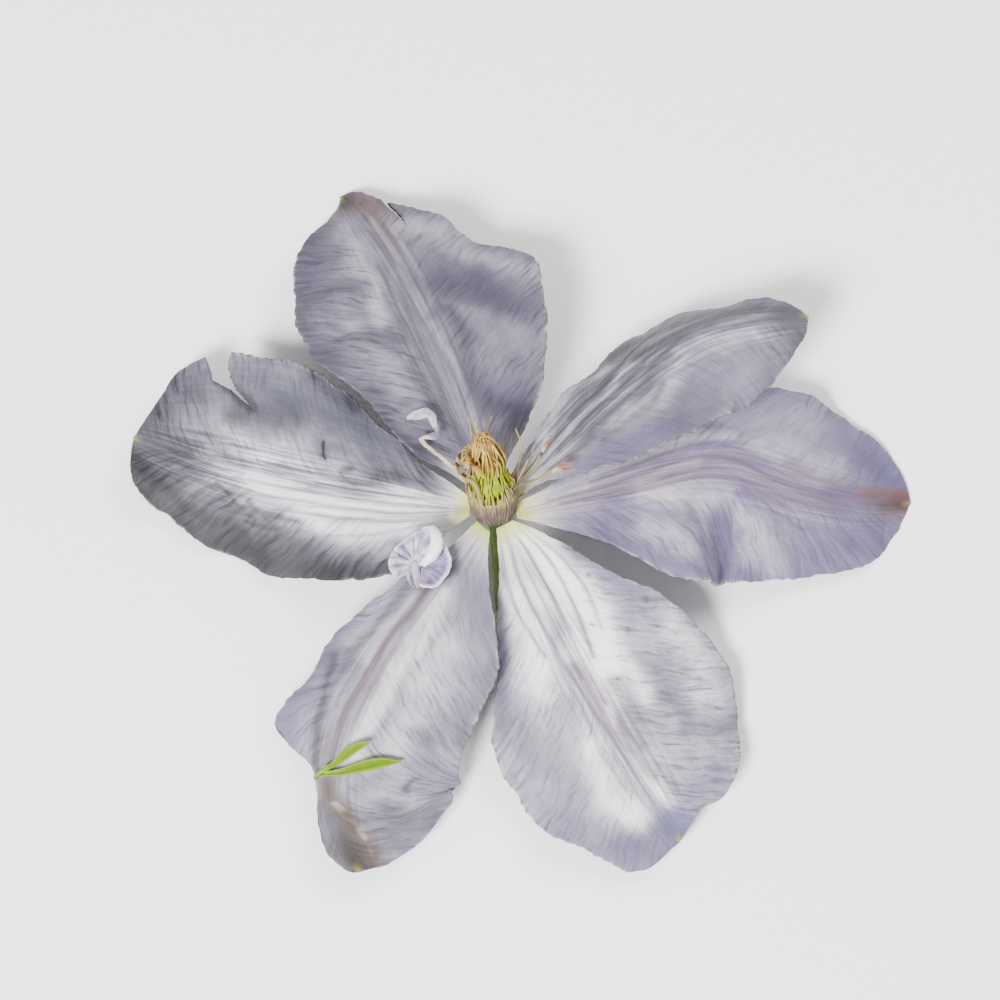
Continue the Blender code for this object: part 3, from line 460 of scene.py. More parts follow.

# %% [markdown]
# ## Painting a tepal by strokes
# No two tepals of one flower look alike: each has its own white bands, lilac areas, blushes, and areas where
# the barbs stand out. Dark strokes paint shade over that: where margins curl under, in folds, and where the
# rolled stamen casts its shadow. A few tiny ones are real dark specks. Plain noise would put them anywhere,
# so they are laid on the points as strokes of a soft brush whose path wanders a little, in flat coordinates.
# The finish reads their strengths and adds the fine patterns.

# %% Strokes of each tepal
# A stroke is (strength, half width, (along, across), (along, across), ...), and across is positive on the
# left. Dark strokes are painted shade, and a few tiny ones are real specks. Lines are veins and folds, and
# sink
# a groove into the blade: the veins' mauve is their own, and the folds' darkness is painted shade. Calm areas
# have weak barbs.
Strokes = namedtuple("Strokes", "pale lilac dark blush line calm")
STROKES = {
    "tepal_top": Strokes(
        pale=((0.5, 3, (63, 2), (54, 3.4), (45, 3.6), (38, 4.5)),
              (0.35, 1.6, (60, -2), (50, -2.8), (36, -3.4)), (0.35, 4, (32, -11), (25, -15)),
              (0.5, 3.4, (54, -8), (47, -14), (36, -23)), (0.3, 4, (38, 12), (28, 9), (20, 7)),
              (0.25, 1.2, (32, -3.2), (10, -2.4)), (0.3, 2.5, (24, -22), (12, -16))),
        lilac=((0.7, 4.5, (39, -8), (35, -13), (30, -17)), (0.8, 3.5, (15, -7), (10, -13)),
              (0.5, 4, (60, 6), (50, 15))),
        dark=((0.5, 3.5, (39, -8), (35, -13), (31, -16)),
              (0.55, 1.3, (34, -6.2), (27, -6.4), (20, -5.5), (13, -4.2)),
              (0.7, 2.6, (14, -6), (10, -11), (8, -14)), (0.85, 2.4, (22, 15), (14, 12), (6, 7.5)),
              (0.5, 2, (51, 17), (47, 11), (45, 6)), (0.5, 2, (37, 14), (33, 8), (31, 4)),
              (0.45, 1.6, (23, 13), (19, 7)), (0.4, 3, (65, 5), (60, 12)),
              (0.45, 4.5, (56, 15), (44, 19), (34, 19)), (0.4, 1.5, (9, 2), (18, 3.4), (26, 3.4))),
        blush=((0.85, 2.2, (69, -1), (63, -3.5)), (0.3, 2, (60, -3), (52, -3))),
        line=((0.6, 0.45, (62, -1.6), (50, -1.5), (40, -1.2), (30, -1.7), (18, -2), (8, -1.2)),
              (0.6, 0.5, (62, -3.6), (52, -3.6), (42, -3.4), (30, -4.2), (18, -4.2), (6, -2)),
              (0.5, 0.45, (48, 1.4), (36, 1.4), (24, 1.5), (12, 1.2)),
              (0.35, 0.4, (42, 3.2), (30, 3.2), (18, 2.6)),
              (0.9, 0.35, (66.5, -6.6), (60, -7), (57.5, -7.6))),
        calm=((0.7, 7, (44, -8), (34, -14), (24, -14)), (0.7, 4, (60, 0), (20, -2)))),
    "tepal_upper_right": Strokes(
        pale=((0.6, 1.8, (11, 3.2), (20, 5), (29, 5.4)), (0.45, 2, (38, -3.6), (46, -3.4), (54, -4)),
              (0.4, 1.8, (20, -5.4), (28, -6.2), (36, -6)), (0.4, 0.8, (14, -0.4), (24, 0), (34, 0.6)),
              (0.3, 2.4, (5, -1), (12, -3)), (0.35, 1, (46, -15), (38, -15.6)),
              (0.25, 4, (52, -9), (46, -12))),
        lilac=((0.8, 2.6, (12, -6.4), (20, -9), (30, -13)), (0.5, 5, (52, -7), (38, -11)),
              (0.4, 4, (40, -14), (50, -14))),
        dark=((0.8, 0.9, (17, 0.9), (26, 1.8), (34, 4), (42, 5.6)),
              (0.7, 0.7, (12, -1.2), (22, -1.5), (32, -1.2), (40, 0.8)),
              (0.6, 0.9, (12, -3.4), (22, -3.8), (30, -3.4), (38, -2)),
              (0.45, 0.8, (18, -6), (27, -6.6), (34, -5.2)), (0.85, 2.4, (32, 8), (46, 5), (58, 2.6)),
              (0.8, 1.8, (34, 1.6), (44, 1.2), (54, 1.8)), (0.7, 3, (62, 0), (65, -6)),
              (0.3, 2.4, (36, -8.6), (31, -12)), (0.5, 0.8, (30, 3.4), (40, 2.4), (50, 0.6)),
              (0.5, 1.2, (10, 4.8), (20, 7), (30, 9.4)), (0.4, 2, (14, 2), (24, 3.4))),
        blush=((0.4, 2, (8, -3), (14, -5)),),
        line=((0.7, 0.4, (8, 0.6), (20, 1.4), (30, 3.4), (40, 5.4)),
              (0.6, 0.35, (8, -1), (20, -2.4), (32, -2.2), (42, 0)),
              (0.5, 0.35, (8, -2.4), (20, -4.8), (30, -4.6), (40, -3.2)), (0.4, 0.35, (16, 3), (28, 7))),
        calm=((0.9, 8, (8, 0), (30, 0), (45, 2)), (0.9, 7, (24, -10), (40, -12), (52, -9)))),
    "tepal_right": Strokes(
        pale=((0.6, 3, (5, 0), (13, 1)), (0.55, 1.6, (9, 2.2), (20, 4.2), (30, 5.8), (40, 6.4)),
              (0.8, 2.4, (22, -3), (30, -5), (38, -6.4)), (0.55, 2.2, (42, -8), (48, -13), (50, -17)),
              (0.5, 2.6, (22, -9), (27, -14)), (0.4, 3, (44, 7), (52, 7), (60, 5)),
              (0.4, 1, (12, 0.6), (24, 0), (34, 0.6)), (0.4, 4, (40, 12), (54, 14))),
        lilac=((0.3, 4, (42, 14), (52, 15), (63, 13)), (0.9, 3.6, (66, 10), (72, 4)),
              (0.7, 3, (38, -9), (41, -16)), (0.5, 6, (58, -9), (68, -6)), (0.5, 4, (18, -10), (14, -7))),
        dark=((0.6, 2.2, (37, -8), (40, -13), (42, -19)), (0.4, 1, (29, -6), (30.5, -12), (31, -17)),
              (0.6, 3, (68, 8), (73, 3)), (0.35, 3.5, (64, -4), (70, -6)),
              (0.5, 1.4, (20, -14.6), (32, -20), (48, -18)), (0.6, 4, (60, 1), (70, 2))),
        blush=((1.0, 1.1, (65, 1.6), (70, 1.9), (74, 1.6)), (0.2, 2, (12, -0.6), (30, 0), (45, -1), (60, -1)),
              (0.2, 1.6, (50, 3), (66, 3))),
        line=((0.8, 0.5, (6, 0.3), (16, 0.3), (30, 1.8), (38, 2.2), (45, 0.8), (50, 0.3), (59, 0.5),
               (68, 1.8)),
              (0.55, 0.4, (14, 1.6), (22, 2.6), (29, 4), (36, 4.6), (43, 3.5), (52, 1.2)),
              (0.6, 0.4, (12, -1.6), (20, -2.2), (28, -2), (35, -1.6), (40, -2.2), (47, -4.5), (54, -7)),
              (0.6, 0.4, (8, -0.8), (24, -1.2), (32, -0.3), (38, -0.4), (43, -2), (50, -3.6)),
              (0.4, 0.35, (30, 3), (40, 3.2), (48, 2.2), (60, 3.4)),
              (0.35, 0.4, (47, -2), (56, -2.4), (66, -1.4))),
        calm=((0.8, 4, (8, 0), (36, 1), (60, 0)), (0.7, 6, (40, 12), (62, 10)))),
    "tepal_lower_right": Strokes(
        pale=((0.95, 3.4, (5, 3), (15, 5), (24, 6), (31, 5)), (0.7, 3, (5, -1), (14, -0.5)),
              (0.6, 3, (12, -3), (20, -5), (28, -7)), (0.6, 3.4, (42, -5), (50, -6), (55, -4.4)),
              (0.5, 2.4, (32, 8), (39, 8.4)), (0.4, 1.4, (47, 0.8), (56, 1.5)), (0.4, 3, (30, 18), (38, 21)),
              (0.5, 3, (24, 1), (36, 2)), (0.3, 2, (41, 17), (46, 20))),
        lilac=((0.9, 3.6, (58, -9), (61, -4), (60, 2)), (0.6, 2.6, (57, 6), (56, 13)),
              (0.6, 3, (13, 11.5), (20, 14.5)), (0.4, 4, (46, -15), (55, -11)),
              (0.5, 3, (20, -11), (28, -15))),
        dark=((0.35, 4, (32, -13), (46, -9)), (0.6, 0.9, (27, -0.6), (34, -0.5), (40, 0), (45, 1), (51, 2.4)),
              (0.5, 1.8, (34, 4), (40, 4.2), (46, 4)), (0.5, 2, (33, 12), (39, 12), (44, 13)),
              (0.55, 1.8, (46, 11), (50, 16), (51, 20)), (0.85, 1.4, (8, 8.6), (13, 11.4)),
              (0.6, 2.4, (20, -11), (26, -14), (31, -16)), (0.3, 2.6, (29, -10), (33, -12)),
              (0.4, 3, (59, -7), (62, 0)), (0.9, 0.3, (14.5, 8.3), (14.8, 8.6)),
              (0.9, 0.35, (22, 5.3), (22.3, 5.5)), (0.9, 0.35, (25, 11), (25.3, 11.1)),
              (1, 0.35, (33.5, 5), (33.8, 5.2)), (0.7, 0.4, (22.5, 16.5), (23.4, 16.2)),
              (0.9, 0.3, (39, 12.8), (39.3, 12.9)), (0.7, 0.25, (27.5, 15.5), (27.7, 15.5))),
        blush=((0.4, 1.4, (28, -0.5), (40, 0.3), (50, 2)), (0.3, 3, (6, 0), (14, 1))),
        line=((0.9, 0.4, (2, 0.8), (8, 1.6), (16, 1.9), (26, 1.5), (36, 1.4)),
              (0.8, 0.4, (2, 2), (9, 4.2), (17, 4.6), (28, 3.4)),
              (0.8, 0.4, (2, -0.6), (9, -1.8), (18, -2), (28, -1.6), (38, -1)),
              (0.7, 0.4, (2, -1.6), (8, -3.8), (16, -4.6), (24, -4)),
              (0.6, 0.4, (3, 3.2), (9, 6.2), (16, 7.6), (24, 7)),
              (0.7, 0.35, (4, 0.1), (12, 0.2), (22, -0.2), (30, -0.2)),
              (0.5, 0.4, (38, -0.8), (48, 0), (58, 1)), (0.4, 0.4, (40, 2), (48, 3.6), (55, 4.6)),
              (0.3, 0.4, (30, -1.4), (42, -3.4), (50, -3))),
        calm=((0.9, 7, (4, 0), (28, 0)), (0.7, 6, (40, -10), (56, -6)))),
    "tepal_lower_left": Strokes(
        pale=((0.85, 2.2, (14, 3), (24, 4.4), (34, 4.4), (42, 3.8), (50, 4)),
              (0.4, 4, (22, 9), (34, 10.5), (43, 10)), (0.35, 1.4, (14, -1.2), (22, -1.6), (30, -2)),
              (1, 0.9, (56.6, 0.9), (58.6, 1.4)), (1, 0.9, (63.4, 3.4), (65.4, 3.8)),
              (0.7, 0.6, (67.6, 3.2), (68.4, 3.3)), (0.3, 3, (56, 9), (62, 13)),
              (0.4, 2.4, (20, -6.6), (28, -5.6))),
        lilac=((0.95, 4.5, (34, -9), (42, -11), (46, -12)), (0.5, 3, (22, -6.6), (30, -8)),
              (0.4, 3, (14, 13), (8, 6)), (0.5, 3, (46, 15), (54, 18))),
        # the first dark stroke is the painted shadow that the rolled stamen casts on this tepal
        dark=((0.75, 1.2, (9, 2), (13, 0.2), (15, -1)), (0.8, 3.4, (60, 0), (69, 2)),
              (0.5, 1, (14, -2.6), (22, -3.2), (32, -4), (40, -4.6)),
              (0.8, 0.9, (33, -6.4), (40, -4.8), (46, -3.2), (50, -2.2)),
              (0.45, 2, (18, 18), (26, 19.4), (34, 20)), (0.4, 2, (38, 14), (44, 17)),
              (0.75, 0.8, (52, 15), (54, 14), (56, 13.8)), (0.6, 3, (60, 9), (67, 12)),
              (0.6, 1.6, (56, -2), (63, -1.6), (69, 0)), (0.4, 4, (66, 5), (70, 14)),
              (0.5, 0.8, (60, 2.6), (62, 6), (63, 10))),
        blush=((0.9, 2, (53, 0), (58, 1.2), (64, 3), (69.4, 3.2)), (0.5, 1, (12, 0), (30, -0.2), (44, 0)),
              (0.3, 2, (45, -1), (52, -1))),
        line=((0.75, 0.5, (8, 0.8), (14, 0.2), (22, 0), (32, -0.3), (42, 0), (50, 0.6)),
              (0.55, 0.4, (12, 1.8), (20, 2.2), (30, 2.2), (40, 2.2), (48, 2.6)),
              (0.4, 0.35, (16, -1.6), (28, -2.2), (40, -2)), (0.35, 0.35, (20, 4), (30, 6), (40, 6.2)),
              (0.35, 0.4, (4, 1), (9, 4.4), (16, 7.6)), (0.3, 0.35, (4, 0.4), (10, 7.6))),
        calm=((0.9, 5, (6, 1), (30, 0), (50, 1)), (0.9, 5, (34, -10), (46, -12)),
              (0.5, 5, (8, 6), (16, 12)))),
    "tepal_left": Strokes(
        pale=((0.9, 2.8, (5, 1), (14, 1.8), (24, 2.2), (38, 1)), (0.3, 1.6, (40, 0.6), (48, -1)),
              (0.7, 2.6, (10, 5.4), (22, 6.2), (30, 5)), (0.35, 3, (32, -5), (44, -5.4)),
              (0.3, 3, (14, 9), (20, 10))),
        lilac=((0.7, 6, (18, -10), (30, -14), (44, -15)), (0.4, 3, (20, 11), (12, 13)),
              (0.5, 3, (56, -12), (61, -4))),
        # the first three dark strokes paint the shade of the lower margin, which curls down and away
        dark=((1, 3, (61, 3.4), (54, 7), (46, 9.8), (38, 12)),
              (1, 5.6, (58, 10), (48, 12), (41, 13), (32, 13.6), (22, 15), (16, 15)),
              (0.8, 7, (63, 4), (52, 9), (40, 13), (28, 16)), (0.5, 7, (62, -4), (52, 1)),
              (0.35, 4.5, (61, -10), (54, -11)), (0.7, 0.9, (46, 3.6), (41, 6), (36, 9)),
              (0.6, 0.8, (40, 4.4), (35, 7), (31, 10)), (0.8, 1.3, (39, 8.8), (33, 9)),
              (0.6, 1.2, (47, 4.8), (40, 7.4)), (0.5, 3, (61, -13), (62.4, -4)),
              (0.45, 1.5, (17, -4.2), (10, -3.8), (5, -2.6)), (0.5, 0.7, (24, -4), (22, -4.8)),
              (0.95, 0.25, (28.6, -8.4), (28.3, -7), (27.8, -5.4)), (0.4, 1.6, (34, -20.4), (24, -16)),
              (0.7, 1.2, (51, -15.2), (43, -11.4)), (0.4, 3, (36, -11), (46, -10)),
              (0.6, 1, (30, 7), (37, 6.2), (44, 8))),
        blush=((0.3, 2, (34, 3), (42, 3)),),
        line=((0.7, 0.4, (4, 1.2), (12, 2.6), (22, 2.9), (32, 2.9), (42, 3.6), (54, 3)),
              (0.6, 0.4, (4, 0.4), (14, 0.8), (26, 0.9), (40, 1)),
              (0.6, 0.4, (4, 2), (12, 4.2), (22, 4.8), (34, 5), (44, 6.4)),
              (0.5, 0.35, (6, -0.6), (16, -0.9), (28, -0.6), (40, -0.8), (54, -1.8)),
              (0.5, 0.35, (18, -2.2), (28, -1.9), (38, -2.4)), (0.4, 0.35, (8, 4.6), (16, 7), (24, 8)),
              (0.4, 0.35, (46, 1.4), (60, 0.4))),
        calm=((0.9, 6, (4, 2), (34, 2)), (1, 10, (18, -10), (34, -13), (48, -12)),
              (0.6, 6, (30, 14), (50, 13)))),
}


def nearest_on(x, y, corners):
    """The squared distance to a line through the corners, and the nearest place on it."""
    best, near_x, near_y = np.full_like(x, np.inf), x.copy(), y.copy()
    for (ax, ay), (dx, dy) in zip(corners[:-1], np.diff(corners, axis=0)):
        part = np.clip(((x - ax) * dx + (y - ay) * dy) / (dx * dx + dy * dy), 0, 1)
        px, py = ax + part * dx, ay + part * dy
        apart = (x - px) ** 2 + (y - py) ** 2
        closer = apart < best
        best, near_x, near_y = (np.where(closer, new, old)
                                for new, old in ((apart, best), (px, near_x), (py, near_y)))
    return best, near_x, near_y


def stroke_strength(strokes, along, across, wander):
    """The strongest stroke at each point: strength * exp(-(distance from its path / half width)^2)."""
    x = along + wander * (ripple(along / 5, across / 5, 81) + 0.4 * ripple(along / 1.5, across / 1.5, 82))
    y = across + 0.6 * wander * (ripple(along / 5, across / 5, 83)
                                 + 0.3 * ripple(along / 1.5, across / 1.5, 84))
    strongest = np.zeros_like(along)
    for strength, half_width, *path in strokes:
        nearest = nearest_on(x, y, through(path, np.linspace(0, 1, 5 * len(path))))[0]
        strongest = np.maximum(strongest, strength * np.exp(-nearest / half_width ** 2))
    return strongest


print("strokes:", sum(len(kind) for strokes in STROKES.values() for kind in strokes))

# %% [markdown]
# ## Making a tepal
# The grid runs from claw to tip and from margin to margin. The margin is bitten by fine teeth. A Boolean
# could cut the tears, but it leaves slivers in so thin a sheet. Instead the points beside a tear move onto
# its edge, and the faces inside it are left out. Solidify then gives every blade two faces and a rim.

# %% Tepal meshes
TEPAL_THICKNESS = 0.42       # mm, thinner than the solid, whose blades are 0.6
ROWS, COLUMNS = 200, 131
TEARS = {
    "tepal_left": np.array([(42.7, -11.2), (46.5, -12.9), (49.2, -14.1), (51.4, -14.5), (53.6, -14.9),
                            (54.4, -16.2), (56.8, -18.6), (62, -23), (60, -27), (52.4, -27), (52.1, -20.5),
                            (51.9, -18.6), (50.2, -16.2), (48.3, -14.5), (45.8, -13.0)]),
    "tepal_top": np.array([(54.6, -7.3), (58.4, -6.75), (62.5, -6.2), (68, -5.9), (68, -7.2), (62.6, -6.9),
                           (58.6, -7.25)]),
}
SNAP = 0.25                  # mm: a point this near a tear's edge moves onto it


def inside(x, y, corners):
    """True where a point lies in the polygon: a ray from it crosses the sides an odd number of times."""
    crossed = np.zeros(x.shape, bool)
    for (ax, ay), (bx, by) in zip(corners, np.roll(corners, -1, axis=0)):
        crossed ^= ((ay > y) != (by > y)) & (x < (bx - ax) * (y - ay) / (by - ay + 1e-12) + ax)
    return crossed


def tepal_part(tepal, number):
    """A tepal's grid, u from claw to tip and v from the right margin to the left, with its named values."""
    u, v = shares(ROWS, COLUMNS)
    u = 1 - (1 - u) ** 1.15                                     # closer rows at the tip
    margin = np.where((v >= 0)[..., None], through(tepal.left.outline, u), through(tepal.right.outline, u))
    share = np.sign(v) * np.abs(v) ** 0.9                       # closer columns at the margins
    teeth = (0.22 * ripple(u * 95 + 7 * number, 3 * (v > 0), 51)
             + 0.3 * ripple(u * 24, 3 * (v > 0), 61 + number))
    teeth = teeth * np.abs(share) ** 8 * np.clip(u * 6, 0, 1) * np.clip(margin[..., 1] / 4, 0, 1)
    along = tepal.length * u + np.abs(share) * (margin[..., 0] - tepal.length * u)
    across = share * (margin[..., 1] + teeth)
    if tepal.name in TEARS:                                     # points beside the tear move onto its edge
        tear = TEARS[tepal.name]
        apart, near_along, near_across = nearest_on(along, across, np.concatenate([tear, tear[:1]]))
        along, across = np.where(apart < SNAP ** 2, (near_along, near_across), (along, across))
    strokes = STROKES[tepal.name]
    paint = [stroke_strength(kind, along, across, wander)
             for kind, wander in zip(strokes, (1.6, 1.6, 1.2, 1.2, 0.25, 1.6))]
    fine = crinkles(along, across, share, number) * (1 - 0.6 * paint[5]) - 0.16 * paint[4]
    points = blade(tepal, along, across, share, fine, TEPAL_THICKNESS)
    other = np.full_like(along, 17.0 * number)                  # keeps the patterns of two tepals apart
    part = grid_part(
        points, flat=np.stack([along, across, share], -1),
        vein=np.stack([along, vein_place(tepal, along, across), other], -1),
        barb=np.stack([barb_place(along, across), across + 200 * (across < 0), other], -1),
        paint=np.stack(paint[:3], -1), ink=np.stack(paint[3:], -1))
    if tepal.name not in TEARS:
        return part
    middle = part.values["flat"][part.faces].mean(axis=1)
    torn = inside(middle[:, 0], middle[:, 1], tear)
    return part._replace(faces=part.faces[~torn])


# %% [markdown]
# ## The finish of a tepal
# A living tepal is a film of cells full of sap under a waxy, faintly velvety skin. Its colour sits in the
# cells: lilac at the margins and in the barbs, near white along the middle, mauve over the veins, and
# yellowish green on the claw. The barbs' lilac valleys, where the bump sinks, also carry painted shade. It
# scatters light inside, so it has some subsurface light, a broad soft gloss, and no hard highlight. Noises
# stretched along the veins and along the barbs make its fibres and wrinkles, since a plain noise would look
# like stone; the wrinkles' dark lines are painted shade.


# %% Tepal finish
def paint_code(code):
    """An sRGB hex colour as plain fractions, which mix in even steps to the eye; a power of 2.2 follows."""
    return (*(int(code[k:k + 2], 16) / 255 for k in (1, 3, 5)), 1.0)


def tepal_finish(tepal, white, lilac, violet, painted_shade_and_specks, vein, blush, claw, tip, fibre=0.3, barb=0.24):
    """White and lilac blended by strokes, barbs and fibres; painted shade, blush, veins, claw and tip laid
    over.
    """
    t, shader, made = finish(f"living clematis {tepal.name}", 0.6, Subsurface_Weight=0.08,
                             Subsurface_Scale=0.001, Sheen_Weight=0.05, Sheen_Roughness=0.5, IOR=1.4)
    flat, vein_at, barb_at, paint, ink = (
        add(t, "Attribute", attribute_name=name) for name in ("flat", "vein", "barb", "paint", "ink"))
    along, _, share = add(t, "SeparateXYZ", flat).node.outputs
    pale, violets, dark = add(t, "SeparateXYZ", paint).node.outputs
    blushing, line, calm = add(t, "SeparateXYZ", ink).node.outputs
    from_middle = add(t, "Math", add(t, "SeparateXYZ", vein_at).node.outputs[1], operation="ABSOLUTE")
    out = add(t, "Math", share, operation="ABSOLUTE")

    # The barbs' places drift by up to 3.2 mm, so that no barb ends on a straight line.
    drift = add(t, "VectorMath", add(t, "TexNoise", flat, 0.22, 3.0, 0.6).node.outputs["Color"],
                (0.0, 3.2, 0.0), (1.3, 1.0, 0.0), operation="MULTIPLY_ADD")
    barb_at = add(t, "VectorMath", barb_at, drift)

    def pattern(place, steps, detail):
        """Noise stretched along what it follows; a step is 1 / its grain in mm."""
        return add(t, "TexNoise", add(t, "VectorMath", place, steps, operation="MULTIPLY"), 1.0, detail, 0.6)

    def valleys(value, size):
        """-size in the pattern's valleys, rising to a third of size on all the rest."""
        return add(t, "MapRange", value, 0.33, 0.52, add(t, "Math", size, -1.0, operation="MULTIPLY"),
                   add(t, "Math", size, 0.35, operation="MULTIPLY"))

    def centred(value, low, high, size):
        """-size where the pattern is low, and size where it is high."""
        return add(t, "MapRange", value, low, high, add(t, "Math", 0.0, size, operation="SUBTRACT"), size)

    # Patches; barbs 0.85 mm apart; cell rows 0.45 mm apart, which are finer in life and drawn that coarse so
    # that they show; and the long fibres that run beside the veins, 1.1 mm and 0.4 mm apart.
    cloud = pattern(flat, (1 / 9, 1 / 6, 0.3), 3)
    barbs = pattern(barb_at, (1 / 0.85, 1 / 5.5, 1.0), 4)
    silk = pattern(barb_at, (1 / 0.45, 1 / 2.2, 1.0), 3)
    fibres = pattern(vein_at, (1 / 16, 1 / 1.1, 1.0), 3)
    threads = pattern(vein_at, (1 / 12, 1 / 0.4, 1.0), 2)
    near_veins = add(t, "MapRange", from_middle, 4.0, 11.0, 1.0, 0.15)
    feather = add(t, "Math", add(t, "MapRange", from_middle, 1.0, 7.0, 0.25, 1.0),
                  add(t, "MapRange", calm, 0.0, 1.0, 1.0, 0.1), operation="MULTIPLY")

    # How pale each place is: 0 is lilac, 1 is white.
    # The valleys of the silk and barbs, where the bump sinks, turn lilac: partly the tepal's own colour,
    # partly painted shade in the crinkles' hollows.
    paleness = add(t, "Math", pale, 0.26)
    for change in (centred(cloud, 0.3, 0.7, 0.14),
                   valleys(silk, add(t, "Math", feather, 0.1, operation="MULTIPLY")),
                   valleys(barbs, add(t, "Math", feather, 1.15 * barb, operation="MULTIPLY")),
                   centred(fibres, 0.32, 0.68, add(t, "Math", near_veins, fibre, operation="MULTIPLY")),
                   centred(threads, 0.35, 0.65,
                           add(t, "Math", near_veins, 0.35 * fibre, operation="MULTIPLY")),
                   add(t, "MapRange", out, 0.5, 1.0, 0.0, -0.15)):
        paleness = add(t, "Math", paleness, change)
    paleness = add(t, "MapRange", paleness, -0.25, 1.25, interpolation_type="SMOOTHSTEP")
    colour = add(t, "Mix", paleness, paint_code(lilac), paint_code(white), data_type="RGBA")

    # Tints laid over it: each has a strength, and a weight that mostly breaks it up by one of the patterns.
    # Thin dark wrinkles at the bottom of the barbs' pattern are painted shade in the crinkles' creases, the
    # foot of the claw is greenish yellow, and the tip dries and ends in a green point.
    length = tepal.length
    painted_crease_shade = add(t, "Math", add(t, "MapRange", barbs, 0.34, 0.41, 0.5, 0.0), feather, operation="MULTIPLY")
    # The claw's pale cream, like the pale strokes at the roots, is its own colour lifted by painted light
    # where the tuft shades the root.
    root = add(t, "MapRange", along, 0.5, 10.0, 0.9, 0.0, interpolation_type="SMOOTHSTEP")
    for strength, weight, tint in (
            (violets, add(t, "MapRange", barbs, 0.3, 0.7, 0.95, 0.6), violet),
            # the dark strokes: painted shade, with a few real dark specks
            (dark, add(t, "MapRange", barbs, 0.3, 0.65, 1.0, 0.75), painted_shade_and_specks),
            (painted_crease_shade, add(t, "MapRange", cloud, 0.35, 0.6, 0.1, 1.0), painted_shade_and_specks),
            (blushing, add(t, "MapRange", pale, 0.5, 0.9, 0.75, 0.2), blush),
            (line, add(t, "MapRange", fibres, 0.3, 0.6, 1.0, 0.55), vein),
            (root, add(t, "MapRange", fibres, 0.3, 0.65, 0.3, 1.0), claw),
            (0.8, add(t, "MapRange", along, 0.8, 3.8, 1.0, 0.0), "#b9c05c"),
            (add(t, "MapRange", along, 0.87 * length, 0.97 * length, 0.0, 0.9),
             add(t, "MapRange", from_middle, 0.5, 8.0, 1.0, 0.0), tip),
            (add(t, "MapRange", along, 0.97 * length, length, 0.0, 0.7),
             add(t, "MapRange", from_middle, 0.5, 2.0, 1.0, 0.0), "#7f8a3c")):
        strength = add(t, "Math", strength, weight, operation="MULTIPLY")
        colour = add(t, "Mix", strength, colour, paint_code(tint), data_type="RGBA")
    # The very margin dries to a thin line, straw-coloured in places and dark in others.
    dry = add(t, "Mix", add(t, "MapRange", barbs, 0.46, 0.54), paint_code("#4d4d50"), paint_code("#b5ad86"),
              data_type="RGBA")
    rim = add(t, "Math", add(t, "MapRange", out, 0.965, 0.995, 0.0, 0.6), add(t, "MapRange", cloud, 0.4, 0.6),
              operation="MULTIPLY")
    colour = add(t, "Mix", rim, colour, dry, data_type="RGBA")
    t.links.new(add(t, "Gamma", colour, 2.2), shader.inputs["Base Color"])

    height = add(t, "Math", barbs, add(t, "Math", silk, 0.4, operation="MULTIPLY"))
    height = add(t, "Math", height, add(t, "Math", fibres, near_veins, operation="MULTIPLY"))
    t.links.new(add(t, "Bump", Height=height, Strength=0.35, Distance=0.0004), shader.inputs["Normal"])
    return made


print("a dark lilac, #484152, as plain fractions:", np.round(paint_code("#484152")[:3], 2))

# %% Six finishes
# Each palette's darkest colour is painted shade, with a few real specks. The palettes darken from
# tepal_lower_right and tepal_left to tepal_top partly by their own tint and partly by painted shade, for how
# each tepal slopes to the light.
TEPAL_COLOURS = {
    "tepal_top": dict(
        white="#99979f", lilac="#484152", violet="#433c53", painted_shade_and_specks="#2e2c37", vein="#3a353c",
        blush="#5a4038", claw="#cfcac2", tip="#302c29", fibre=0.25),
    "tepal_upper_right": dict(
        white="#b2b0b6", lilac="#4e4b5a", violet="#534e6b", painted_shade_and_specks="#323137", vein="#3f3a40",
        blush="#7a6a70", claw="#d2d2bb", tip="#424049", fibre=0.45, barb=0.15),
    "tepal_right": dict(
        white="#a5a0a8", lilac="#5a536f", violet="#4a4463", painted_shade_and_specks="#4a4560", vein="#57455a",
        blush="#6a4645", claw="#e8e5b6", tip="#3d2924", fibre=0.35),
    "tepal_lower_right": dict(
        white="#f0f0eb", lilac="#666274", violet="#575273", painted_shade_and_specks="#4f4a58", vein="#524a58",
        blush="#8d7482", claw="#f0efe4", tip="#565175"),
    "tepal_lower_left": dict(
        white="#b8b7b7", lilac="#5f5b6d", violet="#534f67", painted_shade_and_specks="#3a3642", vein="#5c4654",
        blush="#4e3e32", claw="#e9e4dc", tip="#27241c"),
    "tepal_left": dict(
        white="#eae8ec", lilac="#494755", violet="#454453", painted_shade_and_specks="#151519", vein="#4c484f",
        blush="#6b646c", claw="#eceae2", tip="#47464e", fibre=0.42),
}
for number, tepal in enumerate(TEPALS):
    look = tepal_finish(tepal, **TEPAL_COLOURS[tepal.name])
    made = piece(tepal.name + "_blade", [tepal_part(tepal, number)], look, tepal.name)
    thicken(made, TEPAL_THICKNESS)
print("nodes in each tepal's finish:", len(look.node_tree.nodes))

# %% [markdown]
# ## The stalk and its receptacle
# The tepals sit on a round receptacle that ends the stalk. The stalk was cut short, bends forward and stays
# clear of the table. It is one skin: a profile turned round for the receptacle, and a strand for the stalk.
# A curve with a bevel would give the same tube, but a strand also carries its own length and girth for the
# finish, which draws the ribs and the short pale down of a clematis stalk.


